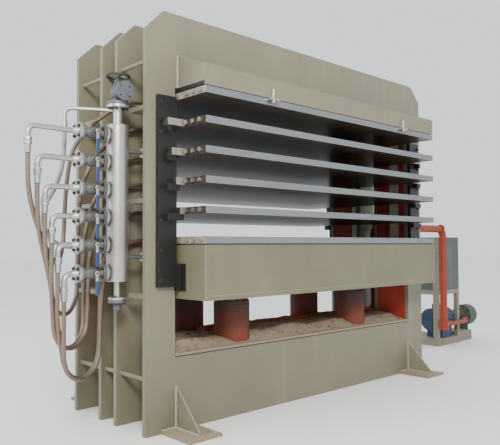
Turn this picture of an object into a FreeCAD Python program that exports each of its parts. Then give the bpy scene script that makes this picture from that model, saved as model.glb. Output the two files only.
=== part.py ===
"""Five-opening hot press for plywood: a frame of four window plates, six heated platens, a rising
table on four rams, a steam header with six valves and hoses, and an oil unit beside it.

The frame is +X along the platens, +Y from the loading side to the back and +Z up. The origin lies on
the floor, in the middle of the four anchor holes. Every size is in millimetres and is written once, in
the sheet named Sizes; a formula below spells it with the sheet's own words.
"""
import FreeCAD, Part
import Sketcher
import math
import os
import re

SIZES = {
    # frame of four window plates
    "frame_width": 3200,
    "post_width": 227.5,
    "plate_thickness": 35,
    "outer_gap": "=2 * cylinder_radius + 2 * cylinder_clearance",
    "inner_gap": 166,
    "base_depth": 478,
    "crown_depth": 498,
    "corner_chamfer": 140,
    # ties, ribs, liners and guides between the plates
    "tie_radius": 14,
    "tie_low": 350,
    "tie_above_window": 155,
    "rib_thickness": 30,
    "rib_low": 884,
    "rib_middle": 1501,
    "rib_high": 2108,
    "liner_thickness": 12,
    "liner_gap": 8.5,
    "guide_bar_thickness": 24,
    "guide_bar_width": 90,
    "guide_bar_inset": 65,
    "rear_guide_width": 50,
    "seat_thickness": 40,
    "seat_lift": 5,
    "seat_length": 320,
    # platens
    "platen_length": 2700,
    "platen_depth": 1544,
    "platen_thickness": 45,
    "daylight": 147,
    "board_thickness": 10,
    "board_recess": 15,
    "bolster_thickness": 24,
    # lugs, steps and guide rails
    "lug_reach": 39,
    "lug_step": 33,
    "lug_depth": 49,
    "lug_clearance": 4,
    "lug_bearing": 29,
    "rail_thickness": 34,
    "rail_width": 143,
    "rail_inset": 75,
    "rail_rise": 80,
    "rail_drop": 72,
    "step_height": 40,
    "step_margin": 40,
    "shoe_clearance": 0.5,
    "shoe_height": 180,
    "shoe_plate": 7,
    "shoe_rise": 51,
    # table and crown boxes
    "table_height": 353,
    "table_wall": 20,
    "table_skin": 30,
    "access_radius": 60,
    "overhang_front": 106,
    "overhang_back": 219,
    "overhang_wall": 12,
    # deck, cylinders and rams
    "deck_thickness": 16,
    "deck_clearance": 5,
    "cylinder_spacing": 1420,
    "cylinder_radius": 135,
    "cylinder_clearance": 24.5,
    "cylinder_height": 730,
    "cylinder_floor": 45,
    "bore_radius": 117,
    "ram_radius": 110,
    "ram_clearance": 0.08,
    "gland_clearance": 0.3,
    "gland_flange": 25,
    "gland_spigot": 100,
    "ram_exposed": 60,
    "ram_foot_gap": 10,
    # feet
    "foot_length": 262,
    "foot_inset": 120,
    "foot_reach": 300,
    "foot_thickness": 20,
    "gusset_height": 290,
    "gusset_reach": 252,
    "gusset_inset": 236,
    "gusset_thickness": 12,
    "anchor_radius": 13,
    "anchor_spacing_x": 2540,
    "anchor_spacing_y": 1380,
    # steam header
    "header_out": 103,
    "header_y": -300,
    "header_radius": 70,
    "header_low": 981,
    "header_high": 1990,
    "branch_top": 1920,
    "branch_pitch": 176,
    "branch_radius": 17,
    "branch_stub": 17,
    "branch_flange_radius": 57.5,
    "flange_thickness": 16,
    "flange_gap": 1,
    "branch_bolt_circle": 42.5,
    "bolt_radius": 6,
    "bolt_hole_radius": 7,
    "valve_length": 165,
    "valve_radius": 31,
    "stem_radius": 12,
    "stem_reach": 76,
    "lever_length": 150,
    "lever_width": 28,
    "lever_thickness": 6,
    "lever_bore_clearance": 0.05,
    "neck_length": 30,
    "neck_radius": 30,
    "elbow_radius": 45,
    "union_radius": 22,
    "union_drop": 75,
    "union_length": 40,
    "ferrule_radius": 18,
    "ferrule_length": 50,
    "top_neck_radius": 30,
    "top_neck_length": 112,
    "main_flange_radius": 73,
    "main_flange_thickness": 18,
    "main_bolt_circle": 110,
    "gasket_thickness": 3,
    "main_valve_radius": 58,
    "main_inlet_reach": 75,
    "main_valve_height": 150,
    "handwheel_radius": 72,
    "handwheel_rim": 8,
    "handwheel_height": 2313,
    "drain_neck_radius": 20,
    "drain_neck_length": 101,
    "drain_flange_radius": 57.5,
    "drain_stub_radius": 14,
    "drain_stub_length": 55,
    "drain_valve_radius": 26,
    "bracket_high": 1830,
    "bracket_low": 1136,
    "bracket_radius": 14,
    # hoses
    "hose_radius": 14,
    "hose_row_y": -165,
    "nipple_length": 50,
    "nipple_radius": 20,
    "plug_radius": 15,
    "plug_length": 22,
    "return_radius": 13,
    "return_height": 2087,
    "return_bend": 40,
    # oil pipe and oil unit
    "oil_pipe_radius": 41,
    "oil_pipe_bend": 90,
    "oil_branch_radius": 24,
    "oil_pipe_seat": 7,
    "oil_rise_x": 1490,
    "oil_pipe_high": 1395,
    "oil_drop_x": 2850,
    "oil_tee_height": 265,
    "oil_tee_size": 112,
    "unit_x": 2863,
    "unit_y": 88,
    "unit_length": 515,
    "unit_depth": 700,
    "unit_base": 80,
    "unit_tail": 342,
    "unit_tail_depth": 240,
    "tank_low": 660,
    "tank_height": 640,
    "tank_wall": 5,
    "post_size": 50,
    "corner_post_depth": 60,
    "corner_angle": 6,
    "drive_y": 230,
    "drive_height": 300,
    "motor_radius": 135,
    "motor_length": 370,
    "motor_gap": 67,
    "coupling_radius": 52,
    "shaft_radius": 20,
    "pump_x": 3690,
    "pump_radius": 130,
    "pump_length": 160,
    "bell_length": 90,
    "bell_radius": 48,
}

HOSE_ROUTES = [
    [(-2298, -300, 1755), (-2298, -300, 1655), (-2285, -288, 1530), (-2245, -264, 1400),
     (-2190, -235, 1285), (-2125, -200, 1175), (-2056, -125, 1100), (-1972, -31, 1111),
     (-1912, 39, 1203), (-1902, 45, 1345), (-1908, 20, 1490), (-1917, -20, 1640), (-1912, -55, 1785),
     (-1870, -80, 1910), (-1795, -100, 2005), (-1705, -125, 2085), (-1605, -152, 2160),
     (-1500, -165, 2205.5), (-1400, -165, 2205.5)],
    [(-2239, -300, 1579), (-2239, -300, 1470), (-2226, -284, 1340), (-2186, -252, 1210),
     (-2140, -222, 1085), (-2104, -200, 965), (-2080, -184, 850), (-1998, -118, 770),
     (-1895, -38, 775), (-1822, 18, 870), (-1822, 12, 1010), (-1832, -12, 1160), (-1844, -38, 1310),
     (-1850, -60, 1460), (-1840, -80, 1600), (-1800, -100, 1730), (-1730, -125, 1845),
     (-1640, -150, 1935), (-1540, -165, 1995), (-1470, -165, 2013.5), (-1400, -165, 2013.5)],
    [(-2191, -300, 1403), (-2191, -300, 1295), (-2178, -284, 1180), (-2144, -258, 1065),
     (-2114, -234, 945), (-2096, -214, 800), (-2085, -205, 655), (-2001, -162, 567),
     (-1889, -97, 567), (-1807, -49, 656), (-1802, -44, 800), (-1808, -50, 950), (-1816, -60, 1100),
     (-1816, -74, 1250), (-1800, -92, 1400), (-1762, -114, 1530), (-1700, -138, 1640),
     (-1620, -156, 1735), (-1530, -165, 1800), (-1465, -165, 1821.5), (-1400, -165, 1821.5)],
    [(-2147, -300, 1227), (-2147, -300, 1115), (-2136, -276, 975), (-2114, -250, 820),
     (-2098, -241, 662), (-2003, -199, 567), (-1890, -136, 567), (-1803, -86, 656), (-1796, -84, 790),
     (-1796, -92, 930), (-1797, -102, 1070), (-1787, -115, 1210), (-1755, -132, 1345),
     (-1700, -148, 1460), (-1625, -160, 1555), (-1535, -165, 1612), (-1468, -165, 1629.5),
     (-1400, -165, 1629.5)],
    [(-2107, -300, 1051), (-2107, -300, 930), (-2102, -283, 805), (-2083, -266, 690),
     (-2058, -253, 580), (-2040, -248, 469), (-1954, -214, 377), (-1832, -168, 377),
     (-1746, -135, 469), (-1738, -136, 600), (-1734, -136, 740), (-1731, -130, 880),
     (-1722, -130, 1015), (-1697, -142, 1145), (-1650, -157, 1272), (-1592, -165, 1378),
     (-1500, -165, 1437.5), (-1400, -165, 1437.5)],
    [(-2067, -300, 875), (-2067, -300, 775), (-2062, -290, 622), (-2055, -285, 469),
     (-1969, -252, 377), (-1847, -206, 377), (-1761, -173, 469), (-1751, -169, 600),
     (-1749, -165, 730), (-1741, -167, 860), (-1718, -166, 985), (-1664, -165, 1095),
     (-1584, -165, 1195), (-1490, -165, 1245.5), (-1400, -165, 1245.5)],
]
RETURN_ROUTE = [
    (-1998, -150, 1955), (-1998, -150, 1835), (-2004, -132, 1700), (-2024, -70, 1570),
    (-2050, 20, 1475), (-2040, 80, 1370), (-1985, 102, 1260), (-1885, 80, 1203), (-1765, -20, 1195),
    (-1630, -20, 1195),
]
ELBOW_REACH = [525, 466, 418, 374, 334, 294]  # each branch's elbow, out from the header's wall

FRONT, BACK = -1, 1
LEFT, RIGHT = -1, 1
PLATENS = 6

doc = FreeCAD.newDocument("hot_press")
sheet = doc.addObject("Spreadsheet::Sheet", "Sizes")
for row, (word, size) in enumerate(SIZES.items(), start=1):
    sheet.set(f"A{row}", word)
    sheet.set(f"B{row}", str(size))
    sheet.setAlias(f"B{row}", word)
doc.recompute()

WORDS = re.compile(r"\b(" + "|".join(SIZES) + r")\b")


def spell(formula):
    """The formula with each of the sheet's words spelt as the sheet's own cell."""
    return WORDS.sub(r"Sizes.\1", str(formula))


probe = doc.addObject("Part::Vertex", "Probe")


def value(formula):
    """The number that a formula gives, read from a point bound to it."""
    probe.setExpression("X", spell(formula))
    probe.recompute()
    return float(probe.X.Value)


def bind(thing, **formulas):
    """Binds properties of a document object to formulas."""
    for name, formula in formulas.items():
        thing.setExpression(name, spell(formula))
    return thing


def place(thing, x="0", y="0", z="0"):
    """Binds an object's place to formulas."""
    thing.setExpression("Placement.Base.x", spell(x))
    thing.setExpression("Placement.Base.y", spell(y))
    thing.setExpression("Placement.Base.z", spell(z))
    return thing


# Places that several sub-parts share, as formulas over the sheet's words.
HALF_DEPTH = "(2 * plate_thickness + outer_gap + inner_gap / 2)"
PLATE_FRONTS = [
    f"(0 - {HALF_DEPTH})",
    "(0 - inner_gap / 2 - plate_thickness)",
    "(inner_gap / 2)",
    f"({HALF_DEPTH} - plate_thickness)",
]
HALF_FRAME = "(frame_width / 2)"
HALF_WINDOW = "(frame_width / 2 - post_width)"
HALF_PLATEN = "(platen_length / 2)"
HALF_PLATEN_DEPTH = "(platen_depth / 2)"
GAP_IN = "(inner_gap / 2 + plate_thickness)"
GAP_OUT = "(inner_gap / 2 + plate_thickness + outer_gap)"
ROW_Y = "(inner_gap / 2 + plate_thickness + outer_gap / 2)"
SEAT_TOP = "(seat_lift + seat_thickness)"
CYLINDER_TOP = f"({SEAT_TOP} + cylinder_height)"
TABLE_LOW = f"({CYLINDER_TOP} + gland_flange + ram_exposed)"
TABLE_HIGH = f"({TABLE_LOW} + table_height)"
PITCH = "(platen_thickness + daylight)"
DECK_TOP = "(base_depth + deck_thickness)"
HEADER_X = f"(0 - {HALF_FRAME} - header_out)"
LINER_X = f"({HALF_WINDOW} + liner_gap)"
VALVE_END = f"({HEADER_X} - header_radius - branch_stub - flange_thickness - flange_gap)"
STEM_X = f"({VALVE_END} - valve_length / 2)"
BRANCH_FACE = f"({VALVE_END} - valve_length - flange_gap)"


def platen_low(number):
    """Underside of a platen; platen 1 is the top one and platen 6 lies on the table."""
    return f"({TABLE_HIGH} + board_thickness + {PLATENS - number} * {PITCH})"


WINDOW_TOP = f"({platen_low(1)} + platen_thickness + board_thickness + bolster_thickness)"


def branch_z(number):
    """Height of a header branch, counted from the top."""
    return f"(branch_top - {number - 1} * branch_pitch)"


def box(name, x, y, z):
    """A block between low and high formulas on each axis."""
    block = doc.addObject("Part::Box", name)
    length, width, height = (f"({high}) - ({low})" for low, high in (x, y, z))
    bind(block, Length=length, Width=width, Height=height)
    return place(block, x[0], y[0], z[0])


TURNS = {
    "X": FreeCAD.Rotation(FreeCAD.Vector(0, 1, 0), 90),
    "Y": FreeCAD.Rotation(FreeCAD.Vector(1, 0, 0), -90),
    "Z": FreeCAD.Rotation(),
}


def along(axis, span, across):
    """Where a round piece starts: its low end on its own axis, and its centre across it."""
    if axis == "X":
        return span[0], across[0], across[1]
    if axis == "Y":
        return across[0], span[0], across[1]
    return across[0], across[1], span[0]


def rod(name, axis, span, across, radius):
    """A round bar along an axis, from its low to its high end."""
    bar = doc.addObject("Part::Cylinder", name)
    bar.Placement = FreeCAD.Placement(FreeCAD.Vector(), TURNS[axis])
    bind(bar, Radius=radius, Height=f"({span[1]}) - ({span[0]})")
    return place(bar, *along(axis, span, across))


def cone(name, axis, span, across, radii):
    """A round taper along an axis, with its radius at the low and at the high end."""
    taper = doc.addObject("Part::Cone", name)
    taper.Placement = FreeCAD.Placement(FreeCAD.Vector(), TURNS[axis])
    bind(taper, Radius1=radii[0], Radius2=radii[1], Height=f"({span[1]}) - ({span[0]})")
    return place(taper, *along(axis, span, across))


def ball(name, x, y, z, radius):
    """A round body."""
    sphere = doc.addObject("Part::Sphere", name)
    bind(sphere, Radius=radius)
    return place(sphere, x, y, z)


def ring(name, x, y, z, radius, thickness):
    """A ring that lies flat."""
    torus = doc.addObject("Part::Torus", name)
    bind(torus, Radius1=radius, Radius2=thickness)
    return place(torus, x, y, z)


def fuse(name, parts):
    """Pieces welded or cast as one."""
    joined = doc.addObject("Part::MultiFuse", name)
    joined.Shapes = parts
    joined.Refine = True
    return joined


def cut(name, base, tools):
    """A piece less its holes."""
    tool = tools[0]
    if len(tools) > 1:
        tool = doc.addObject("Part::MultiFuse", name + "_holes")
        tool.Shapes = tools
    drilled = doc.addObject("Part::Cut", name)
    drilled.Base = base
    drilled.Tool = tool
    return drilled


def group(name, parts):
    """Separate solids of one kind, kept in one node."""
    together = doc.addObject("Part::Compound", name)
    together.Links = parts
    return together


def draw(sketch, corners):
    """A closed outline whose corners are bound to the sheet."""
    points = [FreeCAD.Vector(value(u), value(v), 0) for u, v in corners]
    first = sketch.GeometryCount
    count = len(corners)
    for n in range(count):
        sketch.addGeometry(Part.LineSegment(points[n], points[(n + 1) % count]), False)
    for n in range(count):
        sketch.addConstraint(Sketcher.Constraint("Coincident", first + n, 2, first + (n + 1) % count, 1))
    for n, (u, v) in enumerate(corners):
        for kind, formula, size in (("DistanceX", u, points[n].x), ("DistanceY", v, points[n].y)):
            index = sketch.addConstraint(Sketcher.Constraint(kind, -1, 1, first + n, 1, size))
            sketch.setExpression(f"Constraints[{index}]", spell(formula))


SKETCH_TURNS = {
    "X": FreeCAD.Rotation(FreeCAD.Vector(1, 1, 1), 120),
    "Y": FreeCAD.Rotation(FreeCAD.Vector(1, 0, 0), 90),
}


def prism(name, axis, corners, low, thickness):
    """An outline pushed along X (corners in Y, Z) or along Y (corners in X, Z), from low upwards."""
    sketch = doc.addObject("Sketcher::SketchObject", name + "_outline")
    sketch.Placement = FreeCAD.Placement(FreeCAD.Vector(), SKETCH_TURNS[axis])
    draw(sketch, corners)
    if axis == "X":
        place(sketch, low, "0", "0")
    else:
        place(sketch, "0", f"({low}) + ({thickness})", "0")
    solid = doc.addObject("Part::Extrusion", name)
    solid.Base = sketch
    solid.DirMode = "Normal"
    solid.Solid = True
    bind(solid, LengthFwd=thickness)
    return solid


def mirrored(span, side):
    """A span as it is on the positive side, or its mirror image on the negative one."""
    if side > 0:
        return span
    return f"0 - ({span[1]})", f"0 - ({span[0]})"


def rounded_path(points, bend=None):
    """Straight runs joined by tangent arcs, and the arcs' radii. A hose has no set bend, so each of
    its arcs is as large as 0.45 of the shorter run beside it allows."""
    places = [FreeCAD.Vector(*p) for p in points]
    edges = []
    radii = []
    start = places[0]
    for before, here, after in zip(places, places[1:], places[2:]):
        into = (here - before).normalize()
        out = (after - here).normalize()
        turn = into.getAngle(out)
        shorter = min((here - before).Length, (after - here).Length)
        radius = bend if bend else 0.45 * shorter / math.tan(turn / 2)
        reach = radius * math.tan(turn / 2)
        first = here - into * reach
        last = here + out * reach
        inward = (out - into).normalize()
        middle = here + inward * (radius / math.cos(turn / 2) - radius)
        edges.append(Part.LineSegment(start, first).toShape())
        edges.append(Part.Arc(first, middle, last).toShape())
        radii.append(radius)
        start = last
    edges.append(Part.LineSegment(start, places[-1]).toShape())
    return Part.Wire(edges), radii


def tube_shape(points, radius, bend=None):
    """A round bar swept along a rounded path."""
    path, radii = rounded_path(points, bend)
    heading = FreeCAD.Vector(*points[1]) - FreeCAD.Vector(*points[0])
    profile = Part.Wire([Part.makeCircle(radius, FreeCAD.Vector(*points[0]), heading)])
    shape = path.makePipeShell([profile], True, False)
    expected = math.pi * radius**2 * path.Length
    if abs(shape.Volume / expected - 1) > 0.01:
        raise RuntimeError(f"a tube's volume is {shape.Volume:.0f}, not {expected:.0f}")
    return shape, path.Length, radii


def tube(name, points, radius, bend=None):
    """A bent pipe or a hose as a document object; a hose's length and radii are printed."""
    solid = doc.addObject("Part::Feature", name)
    solid.Shape, length, radii = tube_shape(points, value(radius), bend)
    if bend is None:
        print(f"{name}: length {length:.0f} mm, bend radii {', '.join(f'{r:.0f}' for r in radii)}")
    return solid


def plane_of(body, role):
    """One of a body's own origin planes."""
    return next(f for f in body.Origin.OriginFeatures if f.Role == role)


def make_frame_plates():
    """Four steel window plates, each one sketch and one pad, with cut corners at the top."""
    top = f"({WINDOW_TOP} + crown_depth)"
    outline = [
        (f"0 - {HALF_FRAME}", "0"),
        (HALF_FRAME, "0"),
        (HALF_FRAME, f"{top} - corner_chamfer"),
        (f"{HALF_FRAME} - corner_chamfer", top),
        (f"corner_chamfer - {HALF_FRAME}", top),
        (f"0 - {HALF_FRAME}", f"{top} - corner_chamfer"),
    ]
    window = [
        (f"0 - {HALF_WINDOW}", "base_depth"),
        (HALF_WINDOW, "base_depth"),
        (HALF_WINDOW, WINDOW_TOP),
        (f"0 - {HALF_WINDOW}", WINDOW_TOP),
    ]
    plates = []
    for number, front in enumerate(PLATE_FRONTS, start=1):
        body = doc.addObject("PartDesign::Body", f"frame_plate_{number}")
        sketch = body.newObject("Sketcher::SketchObject", f"plate_outline_{number}")
        sketch.AttachmentSupport = (plane_of(body, "XZ_Plane"), [""])
        sketch.MapMode = "FlatFace"
        draw(sketch, outline)
        draw(sketch, window)
        pad = body.newObject("PartDesign::Pad", f"plate_pad_{number}")
        pad.Profile = sketch
        bind(pad, Length="plate_thickness")
        place(body, "0", f"{front} + plate_thickness", "0")
        plates.append(body)
    return plates


def make_plate_ties():
    """Round spacers, flat ribs and cylinder seats, welded between the plates."""
    high_tie = f"({WINDOW_TOP} + tie_above_window)"
    spans = [(GAP_IN, GAP_OUT, BACK), (GAP_IN, GAP_OUT, FRONT)]
    ties = []
    for side in (LEFT, RIGHT):
        tie_x = f"{side} * ({HALF_FRAME} - 40)"
        for near, far, depth in spans:
            for level in ("tie_low", high_tie):
                name = f"tie_{len(ties)}"
                ties.append(rod(name, "Y", mirrored((near, far), depth), (tie_x, level), "tie_radius"))
        middle = ("0 - inner_gap / 2", "inner_gap / 2")
        for level in ("tie_low", high_tie):
            ties.append(rod(f"tie_{len(ties)}", "Y", middle, (tie_x, level), "tie_radius"))
    ribs = []
    for side in (LEFT, RIGHT):
        for near, far, depth in spans:
            hoses_pass = side == LEFT and depth == FRONT
            inner = f"({far} - 175)" if hoses_pass else near
            for level in ("rib_low", "rib_middle", "rib_high"):
                reach = mirrored((f"{LINER_X} + liner_thickness", f"{HALF_FRAME} - 5"), side)
                thick = (f"{level} - rib_thickness / 2", f"{level} + rib_thickness / 2")
                ribs.append(box(f"rib_{len(ribs)}", reach, mirrored((inner, far), depth), thick))
    seats = []
    for side in (LEFT, RIGHT):
        for near, far, depth in spans:
            middle = f"{side} * cylinder_spacing / 2"
            reach = (f"{middle} - seat_length / 2", f"{middle} + seat_length / 2")
            across = mirrored((near, far), depth)
            seats.append(box(f"seat_{len(seats)}", reach, across, ("seat_lift", SEAT_TOP)))
    strap = box("return_strap", (f"0 - {HALF_FRAME}", f"14 - {HALF_FRAME}"),
                ("0 - inner_gap / 2", "inner_gap / 2"), ("1155", "1235"))
    return group("plate_ties", ties + ribs + seats + [strap])


def make_side_liners():
    """Thin plates that close the posts' inner sides; the front left one is cut back for the hoses."""
    liners = []
    for side in (LEFT, RIGHT):
        for depth in (FRONT, BACK):
            inner = f"({GAP_OUT} - 175)" if (side, depth) == (LEFT, FRONT) else GAP_IN
            reach = mirrored((LINER_X, f"{LINER_X} + liner_thickness"), side)
            height = (DECK_TOP, f"{WINDOW_TOP} - 5")
            liners.append(box(f"liner_{len(liners)}", reach, mirrored((inner, GAP_OUT), depth), height))
    return group("side_liners", liners)


def make_platen_side_guides():
    """Upright bars on the liners that keep the platens from drifting along X."""
    rows = [
        (f"0 - {GAP_OUT} + guide_bar_inset", f"0 - {GAP_OUT} + guide_bar_inset + guide_bar_width"),
        (f"{GAP_IN} + 10", f"{GAP_IN} + 10 + rear_guide_width"),
    ]
    bars = []
    for side in (LEFT, RIGHT):
        for y in rows:
            reach = mirrored((f"{LINER_X} - guide_bar_thickness", LINER_X), side)
            bars.append(box(f"guide_bar_{len(bars)}", reach, y, (f"{TABLE_LOW} + 60", f"{WINDOW_TOP} - 60")))
    return group("platen_side_guides", bars)


def make_crown():
    """Bolster plate under the windows' top edges, its overhang boxes and the heat board below."""
    across = (f"0 - {HALF_PLATEN}", HALF_PLATEN)
    low = f"({platen_low(1)} + platen_thickness)"
    bolster_depth = f"({HALF_PLATEN_DEPTH} - overhang_wall - 0.5)"
    bolster = box("bolster_plate", across, (f"0 - {bolster_depth}", bolster_depth),
                  (f"{WINDOW_TOP} - bolster_thickness", WINDOW_TOP))
    board = box("crown_insulation", (f"board_recess - {HALF_PLATEN}", f"{HALF_PLATEN} - board_recess"),
                (f"board_recess - {HALF_PLATEN_DEPTH}", f"{HALF_PLATEN_DEPTH} - board_recess"),
                (low, f"{low} + board_thickness"))
    boxes = [make_overhang(depth) for depth in (FRONT, BACK)]
    return [bolster, board, group("crown_overhangs", boxes)]


def make_overhang(depth):
    """A box with a sloping top that carries the bolster where it stands out of the frame: a skin
    and nine gussets, welded to the outer plate's face."""
    name = "front" if depth == FRONT else "back"
    sign = f"{depth} *"
    face = f"({sign} {HALF_DEPTH})"
    edge = f"({sign} {HALF_PLATEN_DEPTH})"
    inner_edge = f"({sign} ({HALF_PLATEN_DEPTH} - overhang_wall))"
    high = f"({WINDOW_TOP} + overhang_back)"
    low_front = f"({WINDOW_TOP} + overhang_front)"
    skirt = f"({WINDOW_TOP} - bolster_thickness - 4)"
    half = HALF_PLATEN
    skin = [
        (face, high), (edge, low_front), (edge, skirt), (inner_edge, skirt),
        (inner_edge, f"{low_front} - overhang_wall"), (face, f"{high} - overhang_wall"),
    ]
    rib = [
        (face, f"{high} - 2"), (f"({sign} ({HALF_PLATEN_DEPTH} - 2))", f"{low_front} - 2"),
        (f"({sign} ({HALF_PLATEN_DEPTH} - 2))", WINDOW_TOP), (face, WINDOW_TOP),
    ]
    parts = [prism(f"overhang_skin_{name}", "X", skin, f"0 - {half}", f"2 * {half}")]
    steps = 8
    for n in range(steps + 1):
        low = f"(0 - {half} + {n} * (2 * {half} - overhang_wall) / {steps})"
        parts.append(prism(f"overhang_rib_{name}_{n}", "X", rib, low, "overhang_wall"))
    return fuse(f"overhang_{name}", parts)


def make_platens():
    """Six steel platens. Platens 2 to 5 have four lugs each, welded on, and every lower platen's
    lugs are shorter, so that it passes the steps of the ones above."""
    platens = []
    for number in range(1, PLATENS + 1):
        low = platen_low(number)
        height = (low, f"{low} + platen_thickness")
        slab = box(f"platen_{number}_slab", (f"0 - {HALF_PLATEN}", HALF_PLATEN),
                   (f"0 - {HALF_PLATEN_DEPTH}", HALF_PLATEN_DEPTH), height)
        if number in (1, PLATENS):
            slab.Label = f"platen_{number}"
            platens.append(slab)
            continue
        lugs = []
        for side in (LEFT, RIGHT):
            for depth in (FRONT, BACK):
                tip = f"{HALF_PLATEN} + lug_reach + {5 - number} * lug_step"
                reach = mirrored((f"{HALF_PLATEN} - 1", tip), side)
                lug_low = f"{HALF_DEPTH} + rail_thickness + 1"
                across = mirrored((lug_low, f"{lug_low} + lug_depth"), depth)
                lugs.append(box(f"lug_{number}_{len(lugs)}", reach, across, height))
        platens.append(fuse(f"platen_{number}", [slab] + lugs))
    return platens


def make_platen_fittings():
    """On each platen: a nipple for its steam hose and the plugs of its drilled steam passages."""
    fittings = []
    for number in range(1, PLATENS + 1):
        level = f"{platen_low(number)} + platen_thickness / 2"
        reach = (f"0 - {HALF_PLATEN} - nipple_length", f"0 - {HALF_PLATEN}")
        parts = [rod(f"nipple_{number}", "X", reach, ("hose_row_y", level), "nipple_radius")]
        for side in (LEFT, RIGHT):
            plug = mirrored((HALF_PLATEN, f"{HALF_PLATEN} + plug_length"), side)
            for inset in (45, 115, 185):
                for depth in (FRONT, BACK):
                    y = f"{depth} * ({HALF_PLATEN_DEPTH} - {inset})"
                    parts.append(rod(f"plug_{number}_{len(parts)}", "X", plug, (y, level), "plug_radius"))
        fittings.append(group(f"platen_{number}_fittings", parts))
    return fittings


def make_guide_rails():
    """Four flat rails on the outer plates' faces."""
    rails = []
    for side in (LEFT, RIGHT):
        for depth in (FRONT, BACK):
            outer = f"{HALF_FRAME} - rail_inset"
            reach = mirrored((f"{outer} - rail_width", outer), side)
            across = mirrored((HALF_DEPTH, f"{HALF_DEPTH} + rail_thickness"), depth)
            height = (f"{TABLE_LOW} + rail_rise", f"{WINDOW_TOP} - rail_drop")
            rails.append(box(f"rail_{len(rails)}", reach, across, height))
    return group("guide_rails", rails)


def make_ladder_steps():
    """The staircase that holds the open platens: one block under each lug."""
    steps = []
    for side in (LEFT, RIGHT):
        for depth in (FRONT, BACK):
            for number in range(2, 6):
                tip = f"{HALF_PLATEN} + lug_reach + {5 - number} * lug_step"
                reach = mirrored((f"{tip} - lug_bearing", f"{HALF_FRAME} - rail_inset - step_margin"), side)
                step_low = f"{HALF_DEPTH} + rail_thickness"
                across = mirrored((step_low, f"{step_low} + lug_depth + 1"), depth)
                top = platen_low(number)
                steps.append(box(f"step_{len(steps)}", reach, across, (f"{top} - step_height", top)))
    return group("ladder_steps", steps)


def make_table():
    """The rising table: a welded box of skins, walls and ribs, with access holes underneath."""
    walls = f"({HALF_PLATEN_DEPTH} - table_wall)"
    shell = box("table_shell", (f"0 - {HALF_PLATEN}", HALF_PLATEN),
                (f"0 - {HALF_PLATEN_DEPTH}", HALF_PLATEN_DEPTH), (TABLE_LOW, TABLE_HIGH))
    bays = 8
    rows = [
        (f"0 - {walls}", f"0 - {ROW_Y} - table_wall / 2"),
        (f"table_wall / 2 - {ROW_Y}", f"{ROW_Y} - table_wall / 2"),
        (f"{ROW_Y} + table_wall / 2", walls),
    ]
    bay = f"((2 * {HALF_PLATEN} - table_wall) / {bays})"
    holes = []
    for n in range(bays):
        low = f"(0 - {HALF_PLATEN} + table_wall + {n} * {bay})"
        high = f"({low} + {bay} - table_wall)"
        for across in rows:
            height = (f"{TABLE_LOW} + table_skin", f"{TABLE_HIGH} - table_skin")
            holes.append(box(f"bay_{len(holes)}", (low, high), across, height))
        centre = f"({low} + {high}) / 2"
        span = (f"{TABLE_LOW} - 1", f"{TABLE_LOW} + table_skin + 1")
        holes.append(rod(f"access_{len(holes)}", "Z", span, (centre, "0"), "access_radius"))
    beam = cut("table_beam", shell, holes)
    board = box("table_insulation", (f"board_recess - {HALF_PLATEN}", f"{HALF_PLATEN} - board_recess"),
                (f"board_recess - {HALF_PLATEN_DEPTH}", f"{HALF_PLATEN_DEPTH} - board_recess"),
                (TABLE_HIGH, f"{TABLE_HIGH} + board_thickness"))
    return [beam, board]


def make_table_shoes():
    """Shoes on the table's ends that slide on the rails' inner edges."""
    rail_edge = f"({HALF_FRAME} - rail_inset - rail_width)"
    height = (f"{TABLE_LOW} + shoe_rise", f"{TABLE_LOW} + shoe_rise + shoe_height")
    shoes = []
    for side in (LEFT, RIGHT):
        for depth in (FRONT, BACK):
            plate_y = mirrored((f"{HALF_DEPTH} + 2", f"{HALF_DEPTH} + rail_thickness + 58"), depth)
            plate_x = mirrored((HALF_PLATEN, f"{HALF_PLATEN} + shoe_plate"), side)
            block_y = mirrored((f"{HALF_DEPTH} + 2", f"{HALF_DEPTH} + rail_thickness - 2"), depth)
            block_x = mirrored((HALF_PLATEN, f"{rail_edge} - shoe_clearance"), side)
            name = f"shoe_{len(shoes)}"
            parts = [
                box(name + "_plate", plate_x, plate_y, height),
                box(name + "_block", block_x, block_y, height),
            ]
            shoes.append(fuse(name, parts))
    return group("table_shoes", shoes)


def cylinder_places():
    """The four cylinders' centres, as formulas."""
    return [(f"{side} * cylinder_spacing / 2", f"{depth} * {ROW_Y}", depth)
            for side in (LEFT, RIGHT) for depth in (FRONT, BACK)]


def make_deck():
    """Deck plate on the windows' bottom edges, with a hole for each cylinder."""
    edge = f"({HALF_WINDOW} - deck_clearance)"
    sheet_plate = box("deck_sheet", (f"0 - {edge}", edge), (f"0 - {HALF_DEPTH}", HALF_DEPTH),
                      ("base_depth", DECK_TOP))
    holes = [
        rod(f"deck_hole_{n}", "Z", ("base_depth - 1", f"{DECK_TOP} + 1"), (x, y), "cylinder_radius + 3")
        for n, (x, y, depth) in enumerate(cylinder_places())
    ]
    return cut("deck_plate", sheet_plate, holes)


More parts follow.
